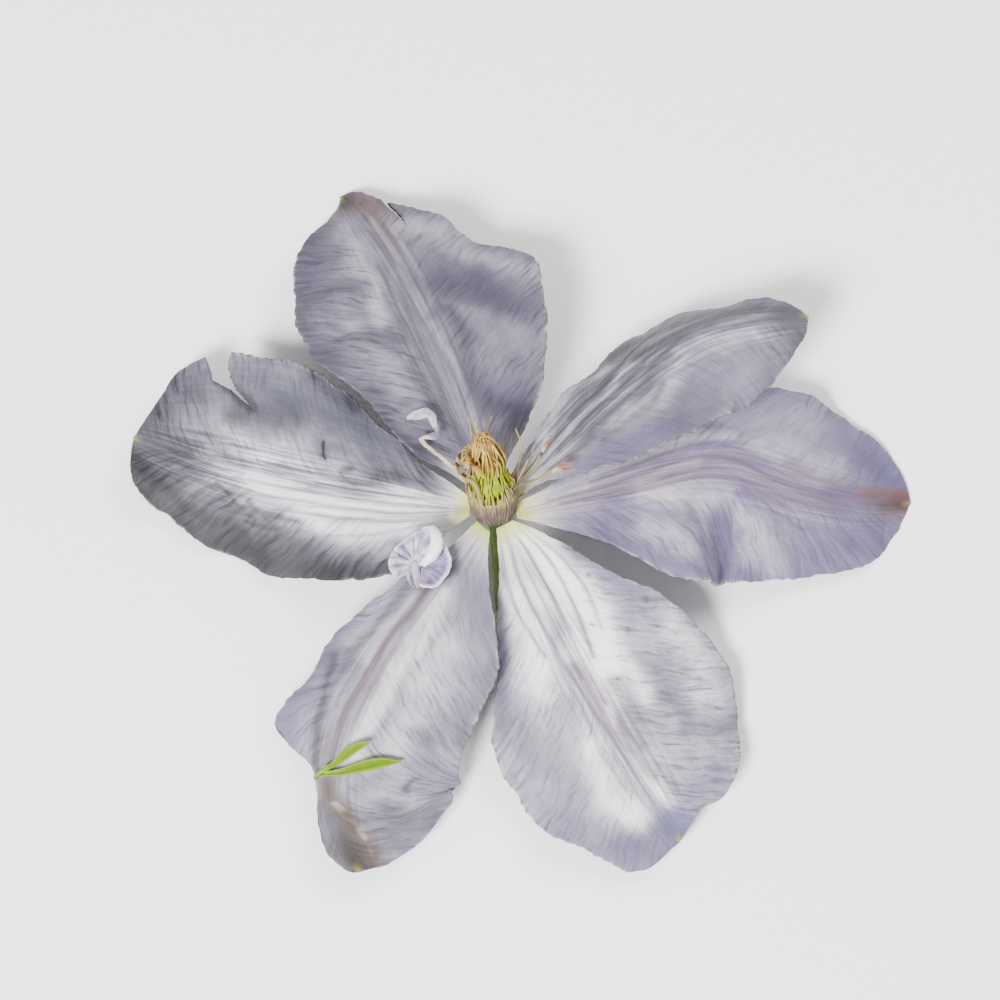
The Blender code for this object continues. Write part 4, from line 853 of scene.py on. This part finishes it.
# %% Strands
def strand(path, radii, sides=10, rings=16, number=0, ribs=0.0, flatten=1.0):
    """A strand along a smooth path, rounded off at both ends: radius * sqrt(1 - (1 - distance/radius)^2).

    Its values are place, the mm coordinates round and along it shifted by its number, and reach, 0 to 1.
    """
    length = np.linalg.norm(np.diff(through(path, np.linspace(0, 1, 40)), axis=0), axis=1).sum()
    cap = min(0.2, max(radii[0], 0.05) / length) * np.array([0, 0.08, 0.3, 0.65])
    share = np.concatenate([cap, np.linspace(cap[-1] / 0.65, 1 - cap[-1] / 0.65, rings), 1 - cap[::-1]])
    centre = through(path, share)
    ahead = unit(np.gradient(centre, axis=0))
    side = unit(np.cross(ahead, np.array([0.31, 0.17, 0.93])))
    other = np.cross(ahead, side)
    radius = np.interp(share, np.linspace(0, 1, len(radii)), radii)
    near = np.clip(np.minimum(share, 1 - share) * length / radius, 0, 1)
    radius = (radius * np.sqrt(1 - (1 - near) ** 2))[:, None]
    angle = np.linspace(0, 2 * np.pi, sides, endpoint=False)
    radius = radius * (1 + ribs * np.cos(6 * angle))
    points = (centre[:, None] + (radius * np.cos(angle))[..., None] * side[:, None]
              + (flatten * radius * np.sin(angle))[..., None] * other[:, None])
    place = np.stack([radius * np.cos(angle) + 7.3 * number, radius * np.sin(angle),
                      np.broadcast_to((share * length)[:, None], radius.shape)], -1)
    reach = share[:, None, None] + 0 * place[..., :1]
    return grid_part(points, closed=True, flip=True, place=place, reach=reach)


def strand_finish(name, roughness, foot, top, streak, pale, along_step, round_step, top_from=0.5, top_to=0.8,
                  streaks=0.6, **sockets):
    """Skin that changes from foot to top, with darker streaks and paler fibres, and ridges to match.

    along_step and round_step are the streaks' length and width in mm.
    """
    t, shader, made = finish(name, roughness, **sockets)
    place = add(t, "Attribute", attribute_name="place")
    reach = add(t, "Attribute", attribute_name="reach").node.outputs["Fac"]
    mottle = add(t, "TexNoise", add(t, "VectorMath", place, (0.9, 0.9, 0.5), operation="MULTIPLY"),
                 1.0, 3.0, 0.6)
    grain = add(t, "TexNoise", add(t, "VectorMath", place, (1 / round_step, 1 / round_step, 1 / along_step),
                                   operation="MULTIPLY"), 1.0, 3.0, 0.6)
    edge = add(t, "Math", reach, add(t, "MapRange", mottle, 0.3, 0.7, -0.12, 0.12))
    colour = add(t, "Mix", add(t, "MapRange", edge, top_from, top_to, interpolation_type="SMOOTHSTEP"),
                 linear(foot), linear(top), data_type="RGBA")
    for low, high, tint in ((0.48, 0.66, streak), (0.46, 0.32, pale)):
        strength = add(t, "MapRange", grain, low, high, 0.0, streaks)
        colour = add(t, "Mix", strength, colour, linear(tint), data_type="RGBA")
    t.links.new(colour, shader.inputs["Base Color"])
    dull = add(t, "MapRange", mottle, 0.3, 0.7, roughness - 0.08, roughness + 0.08)
    t.links.new(dull, shader.inputs["Roughness"])
    t.links.new(add(t, "Bump", Height=grain, Strength=0.5, Distance=0.0002), shader.inputs["Normal"])
    return made


print("faces of a plain strand:", len(strand(((0, 0, 0), (0, 0, 5)), (1, 1)).faces))

# %% Stalk and receptacle
TUFT_BASE = np.array([0.2, 0.2, 12.5])
LEAN_BACK, LEAN_LEFT = math.radians(33), math.radians(5)
TUFT_AXIS = np.array([-math.sin(LEAN_LEFT), math.sin(LEAN_BACK) * math.cos(LEAN_LEFT),
                      math.cos(LEAN_BACK) * math.cos(LEAN_LEFT)])
TUFT_ACROSS = unit(np.cross([0.0, 1.0, 0.0], TUFT_AXIS))
TUFT_BEHIND = np.cross(TUFT_AXIS, TUFT_ACROSS)


def tuft_point(radius, angle, height):
    """A place given by radius, angle in radians from +X and height round the axis of the leaning tuft."""
    radius, angle, height = np.broadcast_arrays(radius, angle, height)
    return (TUFT_BASE + (radius * np.cos(angle))[..., None] * TUFT_ACROSS
            + (radius * np.sin(angle))[..., None] * TUFT_BEHIND + height[..., None] * TUFT_AXIS)


RECEPTACLE = ((0, 9.2), (1.6, 9.4), (2.9, 10.2), (3.35, 11.2))      # radius, height over the table
RECEPTACLE_TOP = ((3.0, -0.6), (2.4, -0.35), (0, -0.35))            # radius, place on the tuft's axis
STALK_PATH = ((0.1, 0.3, 10.6), (0.0, 0.0, 8.8), (0.3, -1.6, 6.0), (0.8, -5.5, 3.6), (1.3, -11.0, 2.6),
              (1.6, -17.0, 2.4))


def receptacle():
    """The profile turned round: low rings tilt with the tepals' roots, top rings stand on the tuft's axis."""
    angle = np.linspace(0, 2 * np.pi, 64, endpoint=False)[None]
    low, top = through(RECEPTACLE, np.linspace(0, 1, 14)), np.array(RECEPTACLE_TOP)
    radius = low[:, :1] * (1 + 0.015 * np.cos(18 * angle))
    tilt = radius * np.sin(angle) * math.sin(ROOT_TILT)
    rings = np.stack([radius * np.cos(angle), radius * np.sin(angle), low[:, 1:] - tilt], -1)
    points = np.concatenate([rings, tuft_point(top[:, :1], angle, top[:, 1:])])
    return grid_part(points, closed=True, flip=True, place=points, reach=np.zeros(points.shape[:2] + (1,)))


green_skin = strand_finish(                     # downy, so it has a soft pale edge
    "green clematis stalk", 0.5, foot="#6d6446", top="#84a046", streak="#5f7a32", pale="#b2c178",
    along_step=4.0, round_step=0.35, top_from=0.02, top_to=0.12, Subsurface_Weight=0.05,
    Subsurface_Scale=0.001, Sheen_Weight=0.15)
piece("stalk_skin", [receptacle(), strand(STALK_PATH, (1.2, 1.2, 1.15), 36, 60, 1, ribs=0.05)], green_skin,
      "pedicel", weld=True)

# %% [markdown]
# ## The cup of filament bases
# Most stamens have dropped their tips. What is left of them is a ribbed cup round the ovaries: flat bases
# pressed together, each ending in its own worn stub. A few filaments still stand, and one is looped over. It
# could be built of loose ribbons, but they would let light through where the real bases have grown together.
# So the wall is a profile turned round, raised over each base, and every base ends at its own height.

# %% Cup
CUP_FILAMENTS, STUBS = 44, 58
CUP_PROFILE = ((0, -2.5), (2.4, -2.35), (3.35, -1.6), (3.85, -0.2), (4.25, 1.7), (4.3, 2.9), (3.8, 4.3),
               (3.5, 4.2), (3.35, 3.7), (2.8, 3.5), (0, 3.4))         # radius, height up the tuft
FILAMENTS = (                                                       # root angle, way in mm, radii
    (118, ((-3.0, 7.6, 15.6), (-3.6, 10.8, 17.0), (-4.3, 14.4, 18.8)), (0.26, 0.24, 0.2, 0.1)),
    (60, ((1.9, 8.4, 16.4), (2.4, 10.2, 18.4)), (0.22, 0.2, 0.1)),
    (20, ((4.6, 6.6, 16.8), (4.9, 9.0, 18.8), (3.9, 11.4, 20.8)), (0.28, 0.24, 0.2, 0.1)),
    (-5, ((6.4, 4.8, 17.1), (8.2, 7.6, 17.6)), (0.26, 0.24, 0.2)),
    (2, ((4.9, 4.2, 17.6), (6.0, 6.4, 18.6)), (0.22, 0.2, 0.12)),
    (-22, ((6.6, 3.0, 17.2), (8.2, 3.7, 16.9), (9.8, 4.6, 16.6)), (0.3, 0.27, 0.24, 0.2)),
    (104, ((-1.6, 8.2, 16.4), (-2.6, 10.6, 17.6), (-3.1, 13.6, 18.9)), (0.2, 0.2, 0.16, 0.08)),
    (78, ((0.2, 8.6, 17.0), (-0.9, 11.4, 18.8), (-0.3, 14.2, 19.6)), (0.22, 0.22, 0.18, 0.08)),
    (8, ((5.2, 5.0, 16.4), (6.6, 7.4, 17.4), (7.2, 9.4, 18.0)), (0.2, 0.18, 0.14, 0.07)),
)
LOOP = ((4.1, 186, 2.6), (4.4, 190, 5.6), (4.3, 206, 7.4), (3.9, 226, 7.2), (3.9, 240, 5.2), (4.1, 246, 2.8))


def in_front(angle):
    """1 at the front of the cup, where the bases are worn shortest, falling off to both sides."""
    return np.exp(-((angle - 1.47 * np.pi) / 0.8) ** 2)


def from_reach(start, part):
    """The strand with its reach running from start to 1, so that it starts paler than the foot."""
    return part._replace(values=dict(part.values, reach=start + (1 - start) * part.values["reach"]))


def cup_wall():
    """Radius and height from the profile; a base's relief is 1 - (2f)^2, f being -0.5 to 0.5 across it."""
    angle = np.linspace(0, 2 * np.pi, CUP_FILAMENTS * 7, endpoint=False)[None]
    turn = angle / (2 * np.pi) * CUP_FILAMENTS
    which = np.rint(turn).astype(int) % CUP_FILAMENTS
    f = turn - np.rint(turn)
    draw = np.random.default_rng(5)
    stub = draw.uniform(-0.6, 0.5, CUP_FILAMENTS)[which] - 0.35 * (2 * f) ** 2 - 1.1 * in_front(angle)
    share = np.linspace(0, 1, 58)[:, None]
    radius, height = through(CUP_PROFILE, share[:, 0]).T[..., None]
    ribs = 0.15 * (1 - (2 * f) ** 2) * np.clip((radius - 1.8) / 1.2, 0, 1) * np.where(share < 0.6, 1, 0.4)
    lift = stub * np.clip((height - 2.7) / 1.6, 0, 1) ** 2
    crumple = 0.1 * ripple(turn * 2, height * 1.5, 91) * np.clip((radius - 2.6) / 1.2, 0, 1)
    points = tuft_point(radius + ribs + crumple, angle, height + lift)
    place = np.stack(np.broadcast_arrays(turn * 0.62, radius * 0, height), -1)
    reach = (height + 1.5 + 0 * angle)[..., None] / 6.2
    return grid_part(points, closed=True, flip=True, place=place, reach=reach)


parts = [cup_wall()]
for number, (angle, way, radii) in enumerate(FILAMENTS):
    root = math.radians(angle)
    path = np.concatenate([tuft_point(4.15, root, 2.6)[None], tuft_point(4.2, root, 4.4)[None], way])
    parts.append(from_reach(0.3, strand(path, radii, 10, 30, number + 3, flatten=0.6)))
looped = [tuft_point(radius, math.radians(angle), height) for radius, angle, height in LOOP]
parts.append(from_reach(0.62, strand(looped, (0.42, 0.5, 0.42), 12, 40, 2, flatten=0.6)))
draw = np.random.default_rng(11)
for k in range(STUBS):                        # thin worn threads pressed to the rim, some leaning in or out
    angle = 2 * np.pi * (k + 0.4 * draw.uniform(-1, 1)) / STUBS
    worn = in_front(angle)
    tall, lean = draw.uniform(0.4, 2.0) - 0.9 * worn, draw.uniform(-0.9, 0.6) - 0.3 * worn
    path = [tuft_point(4.2, angle, 1.6 - worn), tuft_point(4.1, angle, 3.7 - 1.1 * worn),
            tuft_point(3.8 + 0.7 * lean, angle + 0.12 * draw.uniform(-1, 1), 4.5 - 0.6 * worn + tall)]
    parts.append(from_reach(0.25, strand(path, (0.2, 0.22, 0.08), 7, 9, number=20 + k)))
filament_skin = strand_finish(                  # dry and papery: matt
    "worn clematis filaments", 0.6, foot="#54413f", top="#958b42", streak="#3b2a2c", pale="#a09360",
    along_step=3.0, round_step=0.4, top_from=0.42, top_to=0.95, Subsurface_Weight=0.08,
    Subsurface_Scale=0.0008)
piece("cup_skin", parts, filament_skin, "filament_cup", weld=True)

# %% [markdown]
# ## Ovaries and styles
# The heart of the flower is a bundle of pistils: plump yellow-green ovaries below, each drawn out into a long
# tan style. Threads half sunk in the bundle make its fine ridges. The styles close up, cross and bend to the
# left at the top. Hair curves could make them, but would stay out of a mesh. Every one is its own strand with
# its own sway, so light falls between them as it does in the real tuft.

# %% Ovaries
OVARY_TOP, STYLE_TOP = 7.7, 15.8
parts = [strand([tuft_point(0, 0, h) for h in (2.4, 4, 6, 7.5)], (3.75, 3.55, 2.8, 2.1), 36, 20, ribs=0.03)]
for count, radius, turn in ((11, 2.0, 0.0), (5, 0.95, 0.4)):
    for k in range(count):
        angle = 2 * np.pi * (k + turn) / count
        path = [tuft_point(radius * spread, angle, h) for spread, h in
                ((1.25, 2.85), (1.12, 4.2), (1.0, 6.0), (0.82, OVARY_TOP))]
        parts.append(strand(path, (0.3, 0.62, 0.6, 0.25), 14, 18, number=k + 1))
for k in range(40):                           # pale threads that lie over the ovaries from cup to style
    angle, sway = math.radians(9.0 * k + 6 * math.sin(5 * k)), 0.12 * math.sin(3 * k)
    path = [tuft_point(r, angle + turn * sway, h) for r, turn, h in
            ((3.8, 0, 2.4), (3.6, 0, 4.1), (2.9, 1, 6.2), (2.3, 2, 7.9))]
    parts.append(strand(path, (0.16, 0.18, 0.12), 6, 14, number=40 + k))
ovary_skin = strand_finish(                     # juicy: a soft, weak gloss, and light that goes in
    "yellow-green clematis ovaries", 0.42, foot="#849200", top="#988c0e", streak="#738000", pale="#9fab02",
    along_step=2.5, round_step=0.3, top_from=0.7, top_to=1.0, Subsurface_Weight=0.2,
    Subsurface_Scale=0.0012, Specular_IOR_Level=0.25)
piece("ovary_skin", parts, ovary_skin, "ovaries", weld=True)

# %% Styles
parts = [strand([tuft_point(0, 0, h) for h in (OVARY_TOP + 0.35, 10, 12.5, STYLE_TOP - 1.5)],
                (1.6, 1.9, 1.2, 0.3), 16, 20)]
bend = np.array([-1.0, 0.5, 0.4])
draw = np.random.default_rng(7)
for count, radius in ((26, 2.35), (22, 1.9), (14, 1.2), (8, 0.6)):
    for k in range(count):
        angle = 2 * np.pi * (k + 0.6 * draw.random()) / count
        top = STYLE_TOP - 4.6 * draw.random() ** 1.1 - 0.5 * radius
        sway, kink = 0.8 * draw.uniform(-1, 1), 0.45 * draw.uniform(-1, 1, 3)
        path = [tuft_point(radius, angle, OVARY_TOP - 0.2),
                tuft_point(1.16 * radius, angle + 0.3 * sway, 10) + kink * 0.5,
                tuft_point(0.86 * radius, angle + sway, 12.2) + kink + 0.4 * bend,
                tuft_point(0.42 * radius, angle + 1.8 * sway, 13.8) - kink + 0.9 * bend,
                tuft_point(0.22 * radius, angle, top) + bend * draw.uniform(0.9, 1.8)]
        parts.append(strand(path, (0.19, 0.19, 0.18, 0.08), 7, 20, number=k + 30 * count))
for k in range(13):                           # loose ones that arch out to the left and hang over the rim
    angle, out = math.radians(130 + 9 * k), 0.35 * math.sin(7 * k)
    path = [tuft_point(2.4, angle, OVARY_TOP), tuft_point(3.1 + out, angle + 0.1, 10.4),
            tuft_point(4.1 + out, angle + 0.15, 11.2 + out), tuft_point(4.8 + out, angle + 0.2, 9.8 - out)]
    parts.append(strand(path, (0.18, 0.18, 0.16, 0.07), 7, 18, number=900 + k))
style_skin = strand_finish(                     # smooth dry threads: silky
    "tan clematis styles", 0.5, foot="#97971c", top="#a5822f", streak="#573c17", pale="#cfb566",
    along_step=3.0, round_step=0.5, top_from=0.0, top_to=0.35, streaks=0.8, Subsurface_Weight=0.08,
    Subsurface_Scale=0.0006)
piece("style_skin", parts, style_skin, "styles", weld=True)

# %% Two anthers
ANTHERS = (
    ("anther_upper", ((8.5, 8.15, 17.75), (9.4, 9.6, 18.2), (10.1, 11.0, 18.6)), (0.32, 0.4, 0.2)),
    ("anther_right", ((10.2, 4.85, 16.6), (11.8, 5.9, 16.9), (14.0, 6.6, 17.0)), (0.36, 0.42, 0.22)),
)
anther_skin = strand_finish(                    # dusty with pollen: quite matt
    "reddish tan anthers", 0.62, foot="#b39f6a", top="#7c5a45", streak="#57392c", pale="#c2a887",
    along_step=2.0, round_step=0.3, top_from=0.1, top_to=0.5, Subsurface_Weight=0.05,
    Subsurface_Scale=0.0006)
for number, (name, way, radii) in enumerate(ANTHERS):
    parts = [strand(way, radii, 14, 30, number, flatten=0.55)]
    if name == "anther_right":                # its two pollen sacs have come apart into a fork
        way = np.array(way[1:]) + ((-1.0, -0.7, -0.1), (-0.4, -1.1, -0.1))
        parts.append(strand(way, (0.3, 0.26, 0.14), 12, 20, 5, flatten=0.6))
    piece(name + "_skin", parts, anther_skin, name, weld=True)

# %% [markdown]
# ## Petal-like stamens
# Some stamens of a garden clematis turn into little petals. One lies as a speckled flap on the left of the
# tuft. One stands out on a thin cream stalk that kinks and widens into a grey blade. The largest has rolled
# up beside the left tepals. Cloth could be crumpled into such shapes, but not steered. The first two are
# straps: a path with a width at each station and a curled cross-section. The rolled one is two fans, each
# round its own foot, a margin rolled into a tube between them, and a claw below.


# %% Straps
LEAN_UP = np.array([0.0, -0.34, 0.94])
STRAP_THICKNESS = 0.35       # mm; the solid's is 0.6


def strap(path, half_widths, curl, rows=60, columns=25, ruffle=0.0, number=0):
    """A blade along a path: an arc that turns by the curl for its section, and margins waved by ruffle."""
    u, v = shares(rows, columns)
    centre, ahead = through(path, u), ahead_on(path, u)
    side = unit(np.cross(LEAN_UP, ahead))
    up = np.cross(ahead, side)
    uneven = 0.08 * ripple(u * 14, v * 0 + (v > 0) * 5 + number, 23) * np.abs(v)
    across = v * (station(half_widths, u) + uneven)
    turn = math.radians(curl) / 2 * np.abs(v)
    chord = across * np.sinc(turn / 2 / np.pi)
    wave = np.sin(2 * np.pi * (3 * u + 0.2 * np.sign(v)))
    rise = np.abs(chord) * np.sin(turn / 2) + ruffle * v**2 * wave + 0.05 * ripple(u * 20, v * 3, 29 + number)
    points = centre + side * (chord * np.cos(turn / 2))[..., None] + up * rise[..., None]
    length = np.linalg.norm(np.diff(centre[:, 0], axis=0), axis=1).sum()
    return grid_part(points, strip=np.stack([u * length + 9 * number, across, np.abs(v)], -1))


def petaloid_finish(name, white, lilac, edge, speck="#8a8076", speckles=0.0, crimp=0.5):
    """White with lilac clouds, lengthwise fibres 0.3 mm apart, a paler rim, and 0.8 mm spots if speckled."""
    t, shader, made = finish(name, 0.55, Subsurface_Weight=0.12, Subsurface_Scale=0.001, Sheen_Weight=0.08,
                             IOR=1.4)
    strip = add(t, "Attribute", attribute_name="strip")
    out = add(t, "SeparateXYZ", strip).node.outputs[2]
    cloud = add(t, "TexNoise", strip, 0.35, 3.0, 0.6)
    fibres = add(t, "TexNoise", add(t, "VectorMath", strip, (0.3, 3.0, 0.4), operation="MULTIPLY"),
                 1.0, 4.0, 0.6)
    mix = add(t, "Math", add(t, "MapRange", cloud, 0.35, 0.65),
              add(t, "MapRange", fibres, 0.35, 0.65, -0.25, 0.25))
    colour = add(t, "Mix", mix, linear(lilac), linear(white), data_type="RGBA")
    spots = add(t, "MapRange", add(t, "TexNoise", strip, 1.3, 2.0, 0.5), 0.5, 0.56, 0.0, speckles)
    for strength, tint in ((add(t, "MapRange", out, 0.85, 1.0, 0.0, 0.8), edge), (spots, speck)):
        colour = add(t, "Mix", strength, colour, linear(tint), data_type="RGBA")
    t.links.new(colour, shader.inputs["Base Color"])
    t.links.new(add(t, "Bump", Height=fibres, Strength=crimp, Distance=0.0003), shader.inputs["Normal"])
    return made


SPECKLED = ((-4.3, 4.3, 16.3), (-4.6, 5.4, 17.1), (-4.3, 6.6, 17.5), (-3.5, 7.7, 17.7))
KINK_STRIP = ((-5.1, 4.3, 14.8), (-6.7, 6.0, 15.0), (-9.3, 8.3, 15.4), (-12.3, 10.8, 16.0),
              (-12.7, 11.4, 16.4))
KINK_BLADE = ((-12.7, 11.0, 16.2), (-12.3, 11.3, 16.5), (-10.3, 11.5, 16.7), (-9.9, 11.8, 16.6),
              (-10.2, 13.8, 16.2), (-10.9, 15.5, 16.5), (-11.4, 15.8, 16.8), (-13.2, 15.6, 16.6),
              (-15.1, 15.0, 16.5))
BLADE_WIDTHS = (0.32, 0.36, 0.6, 0.38, 0.5, 0.7, 0.85, 0.7, 0.12)
# Little sheets of the same papery film: what differs is the colour, and how crimped they are.
speckled = petaloid_finish("speckled petal-like stamen", "#a39578", "#7d6b5a", "#a8813f", speck="#2a1c14",
                           speckles=0.95)
white_petaloid = petaloid_finish("white petal-like stamen", "#d6d5da", "#857b98", "#cfccd4", crimp=0.9)
grey_petaloid = petaloid_finish("grey petal-like blade", "#bab7c1", "#6d647c", "#c8c4ce", crimp=0.9)
cream_petaloid = petaloid_finish("cream stalk of a petal-like stamen", "#b9b184", "#8f8468", "#c6bf96")
for name, part, material, node, slot in (
        ("speckled_flap", strap(SPECKLED, (0.9, 2.0, 2.4, 2.1, 0.8), 110, ruffle=0.35), speckled,
         "speckled_petaloid", "speckled petaloid"),
        ("kinked_strip", strap(KINK_STRIP, (0.3, 0.24, 0.24, 0.34), 30, 50, 11), cream_petaloid,
         "petaloid_stamen", "white petaloid"),
        ("kinked_blade", strap(KINK_BLADE, BLADE_WIDTHS, -80, 110, 25, 0.2, 3), grey_petaloid,
         "petaloid_stamen", "white petaloid")):
    thicken(piece(name, [part], material, node), STRAP_THICKNESS)

# %% Rolled petal-like stamen
# Each fan: its foot's place, then angles and lengths of its directions, the height at the foot, and the
# heights of its directions halfway and at the margin.
CURL_RUFFLE = ((-13.7, -10.6, 13.2), (219, 203, 187, 170, 152, 134, 116, 98, 82, 67, 46, 27, 4, -18),
               (3.8, 4.2, 4.4, 4.3, 4.2, 4.1, 4.3, 4.8, 5.5, 6.9, 5.6, 4.6, 3.1, 2.0),
               0.3, (0.3, 1.1, 0.3, 1.2, 0.4, 1.2, 0.5, 1.3, 1.2, 1.6, 1.4, 1.2, 1.0, 0.8),
               (0.4, 1.1, 0.5, 1.4, 0.9, 1.8, 1.2, 2.0, 2.3, 2.4, 2.2, 2.0, 1.6, 1.0))
CURL_LOBE = ((-12.4, -11.4, 13.1), (66, 46, 22, -2, -26, -52, -96), (5.9, 5.7, 5.4, 4.9, 4.4, 4.0, 3.0),
             0.5, (0.4, 0.2, 0.1, 0.1, 0.2, 0.2, 0.3), (0.7, 1.3, 1.9, 2.1, 1.9, 1.5, 0.9))
CURL_ROLL = ((-10.8, -4.5, 15.4), (-9.9, -6.2, 15.9), (-9.7, -8.2, 16.0), (-10.5, -9.9, 15.6),
             (-12.2, -11.4, 14.4))


def fan(columns, number, folds):
    """A sheet round the foot: each direction rises to the margin along a parabola through three heights."""
    centre, angles, lengths, foot, halfway, margin = columns
    u, v = shares(90, 40, low=0)
    angle = np.radians(station(angles, u))
    out = 0.15 + v * (station(lengths, u) + 0.12 * ripple(u * 22, v * 0, 33 + number) - 0.15)
    rise = (foot * (1 - v) * (1 - 2 * v) + station(halfway, u) * 4 * v * (1 - v)
            + station(margin, u) * v * (2 * v - 1))
    rise = (rise + folds * np.sin(2 * np.pi * (11 * u + 0.5 * ripple(u * 5, v * 5, 37))) * v
            + 0.06 * ripple(u * 18, v * 9, 39))
    points = centre + np.stack([out * np.cos(angle), (out * np.sin(angle) - 0.34 * rise) / 0.94, rise], -1)
    return grid_part(points, strip=np.stack([out + 9 * number, angle * 3, v], -1))


lilac_petaloid = petaloid_finish("lilac petal-like lobe", "#a294b4", "#695a84", "#dedbe6", crimp=0.9)
for name, columns, number, folds, material in (("rolled_ruffle", CURL_RUFFLE, 1, 0.22, white_petaloid),
                                               ("rolled_lobe", CURL_LOBE, 2, 0.03, lilac_petaloid)):
    made = piece(name, [fan(columns, number, folds)], material, "curled_petaloid")
    thicken(made, STRAP_THICKNESS)
roll = strand(CURL_ROLL, (0.5, 1.0, 1.15, 1.0, 0.5), 30, 40, 3, ribs=0.05, flatten=0.8)
roll_skin = strand_finish(                      # the same film, rolled so that its pale back shows
    "rolled white margin", 0.5, foot="#d9d7df", top="#ececea", streak="#a59fb4", pale="#f2f2f0",
    along_step=1.4, round_step=0.7, top_from=0.0, top_to=0.5, streaks=0.35, Subsurface_Weight=0.12,
    Subsurface_Scale=0.001)
piece("rolled_margin", [roll], roll_skin, "curled_petaloid", weld=True)
tail = [strand(((-13.5, -10.4, 13.9), (-13.3, -12.6, 13.7), (-12.9, -15.4, 13.6)), (0.9, 0.8, 0.3),
               20, 24, 1, flatten=0.5),
        strand(((-14.3, -11.4, 13.8), (-14.6, -13.2, 14.0), (-14.1, -15.0, 13.8)), (0.5, 0.35, 0.12),
               14, 24, 2, flatten=0.6)]
tail_skin = strand_finish(                      # the wilted claw: duller and greyer than the film above it
    "lilac-grey claw", 0.55, foot="#a89fb2", top="#8f8797", streak="#746b80", pale="#c4bfca", along_step=2.0,
    round_step=0.3)
piece("rolled_tail", tail, tail_skin, "curled_petaloid", weld=True)

# %% [markdown]
# ## The sprig
# A sprig of two narrow young leaflets has fallen on the lower left tepal. Shrinkwrap could press them on, but
# they would lose their fold. They are laid over that blade's own formula instead, so they follow its hollows
# at their own height, and fold a little along their midribs.


# %% Leaflets
def over_blade(along, across, height):
    """A place the given height over the lower left tepal, along the cross product of two small steps."""
    here, on, aside = (blade(LOWER_LEFT, along + step, across + step_aside, across / 20)
                       for step, step_aside in ((0, 0), (0.2, 0), (0, 0.2)))
    return here + unit(np.cross(on - here, aside - here)) * height[..., None]


# Each leaflet: (along, across) on the tepal, its foot's height over the tepal, half widths.
LEAFLETS = (
    (((51.9, -1.6), (51.2, 2.2), (49.3, 6.0), (47.2, 9.2), (45.6, 12.0)), 1.0,
     (0.3, 0.55, 0.9, 1.15, 0.95, 0.12)),
    (((51.2, -0.8), (49.8, 1.0), (46.8, 3.2), (44.0, 5.8)), 1.3, (0.3, 0.5, 0.8, 0.7, 0.12)),
)


def leaflet(line, lift, half_widths, number):
    """A blade over the tepal: it rises away from its midrib, and sinks in a groove over it."""
    u, v = shares(90, 29)
    spot, ahead = through(line, u), ahead_on(line, u)
    across = v * station(half_widths, u)
    height = lift + 0.35 * np.abs(across) + 0.5 * u - 0.12 * np.exp(-(across / 0.12) ** 2)
    height = height + 0.03 * ripple(u * 9, across * 2, 43)
    points = over_blade(spot[..., 0] - ahead[..., 1] * across, spot[..., 1] + ahead[..., 0] * across, height)
    return grid_part(points, leaf=np.stack([u * 14 + 20 * number, across, np.abs(v)], -1))


# Fresh and waxy: a soft gloss, a saturated green, and a paler midline, side veins and rim.
t, shader, leaf_skin = finish("young clematis leaflet", 0.45, Subsurface_Weight=0.1, Subsurface_Scale=0.0008,
                              IOR=1.42, Specular_IOR_Level=0.3)
leaf = add(t, "Attribute", attribute_name="leaf")
across = add(t, "Math", add(t, "SeparateXYZ", leaf).node.outputs[1], operation="ABSOLUTE")
slanted = add(t, "Mapping", add(t, "VectorMath", leaf, (1.0, 1.0, 0.0), operation="MULTIPLY"),
              Rotation=(0, 0, 0.7))
side_veins = add(t, "TexWave", slanted, 0.9, 1.5, 2.0, wave_type="BANDS")
mottle = add(t, "TexNoise", leaf, 1.2, 4.0, 0.6)
colour = add(t, "Mix", mottle, linear("#3d5b00"), linear("#638200"), data_type="RGBA")
edge = add(t, "SeparateXYZ", leaf).node.outputs[2]
for strength, tint in ((add(t, "MapRange", side_veins, 0.6, 1.0, 0.0, 0.12), "#7f9c10"),
                       (add(t, "MapRange", edge, 0.6, 1.0, 0.0, 0.6), "#869e10"),
                       (add(t, "MapRange", across, 0.05, 0.26, 0.75, 0.0), "#8ba30e")):
    colour = add(t, "Mix", strength, colour, linear(tint), data_type="RGBA")
t.links.new(colour, shader.inputs["Base Color"])
t.links.new(add(t, "Bump", Height=side_veins, Strength=0.1, Distance=0.0001), shader.inputs["Normal"])
leaflets = piece("sprig_leaflets", [leaflet(*LEAFLETS[0], 0), leaflet(*LEAFLETS[1], 1)], leaf_skin,
                 "leaf_sprig")
thicken(leaflets, STRAP_THICKNESS)
foot = over_blade(np.array([52.4, 51.4, 50.4]), np.array([-2.2, -0.9, 0.2]), np.array([1.15, 1.25, 1.3]))
stem_skin = strand_finish(                      # as fresh as the leaflets, and a little smoother
    "young leaflet stalk", 0.45, foot="#5d7306", top="#6c8410", streak="#455a05", pale="#93a53b",
    along_step=2.0, round_step=0.25)
piece("sprig_foot", [strand(foot, (0.4, 0.45, 0.4), 16, 16)], stem_skin, "leaf_sprig", weld=True)
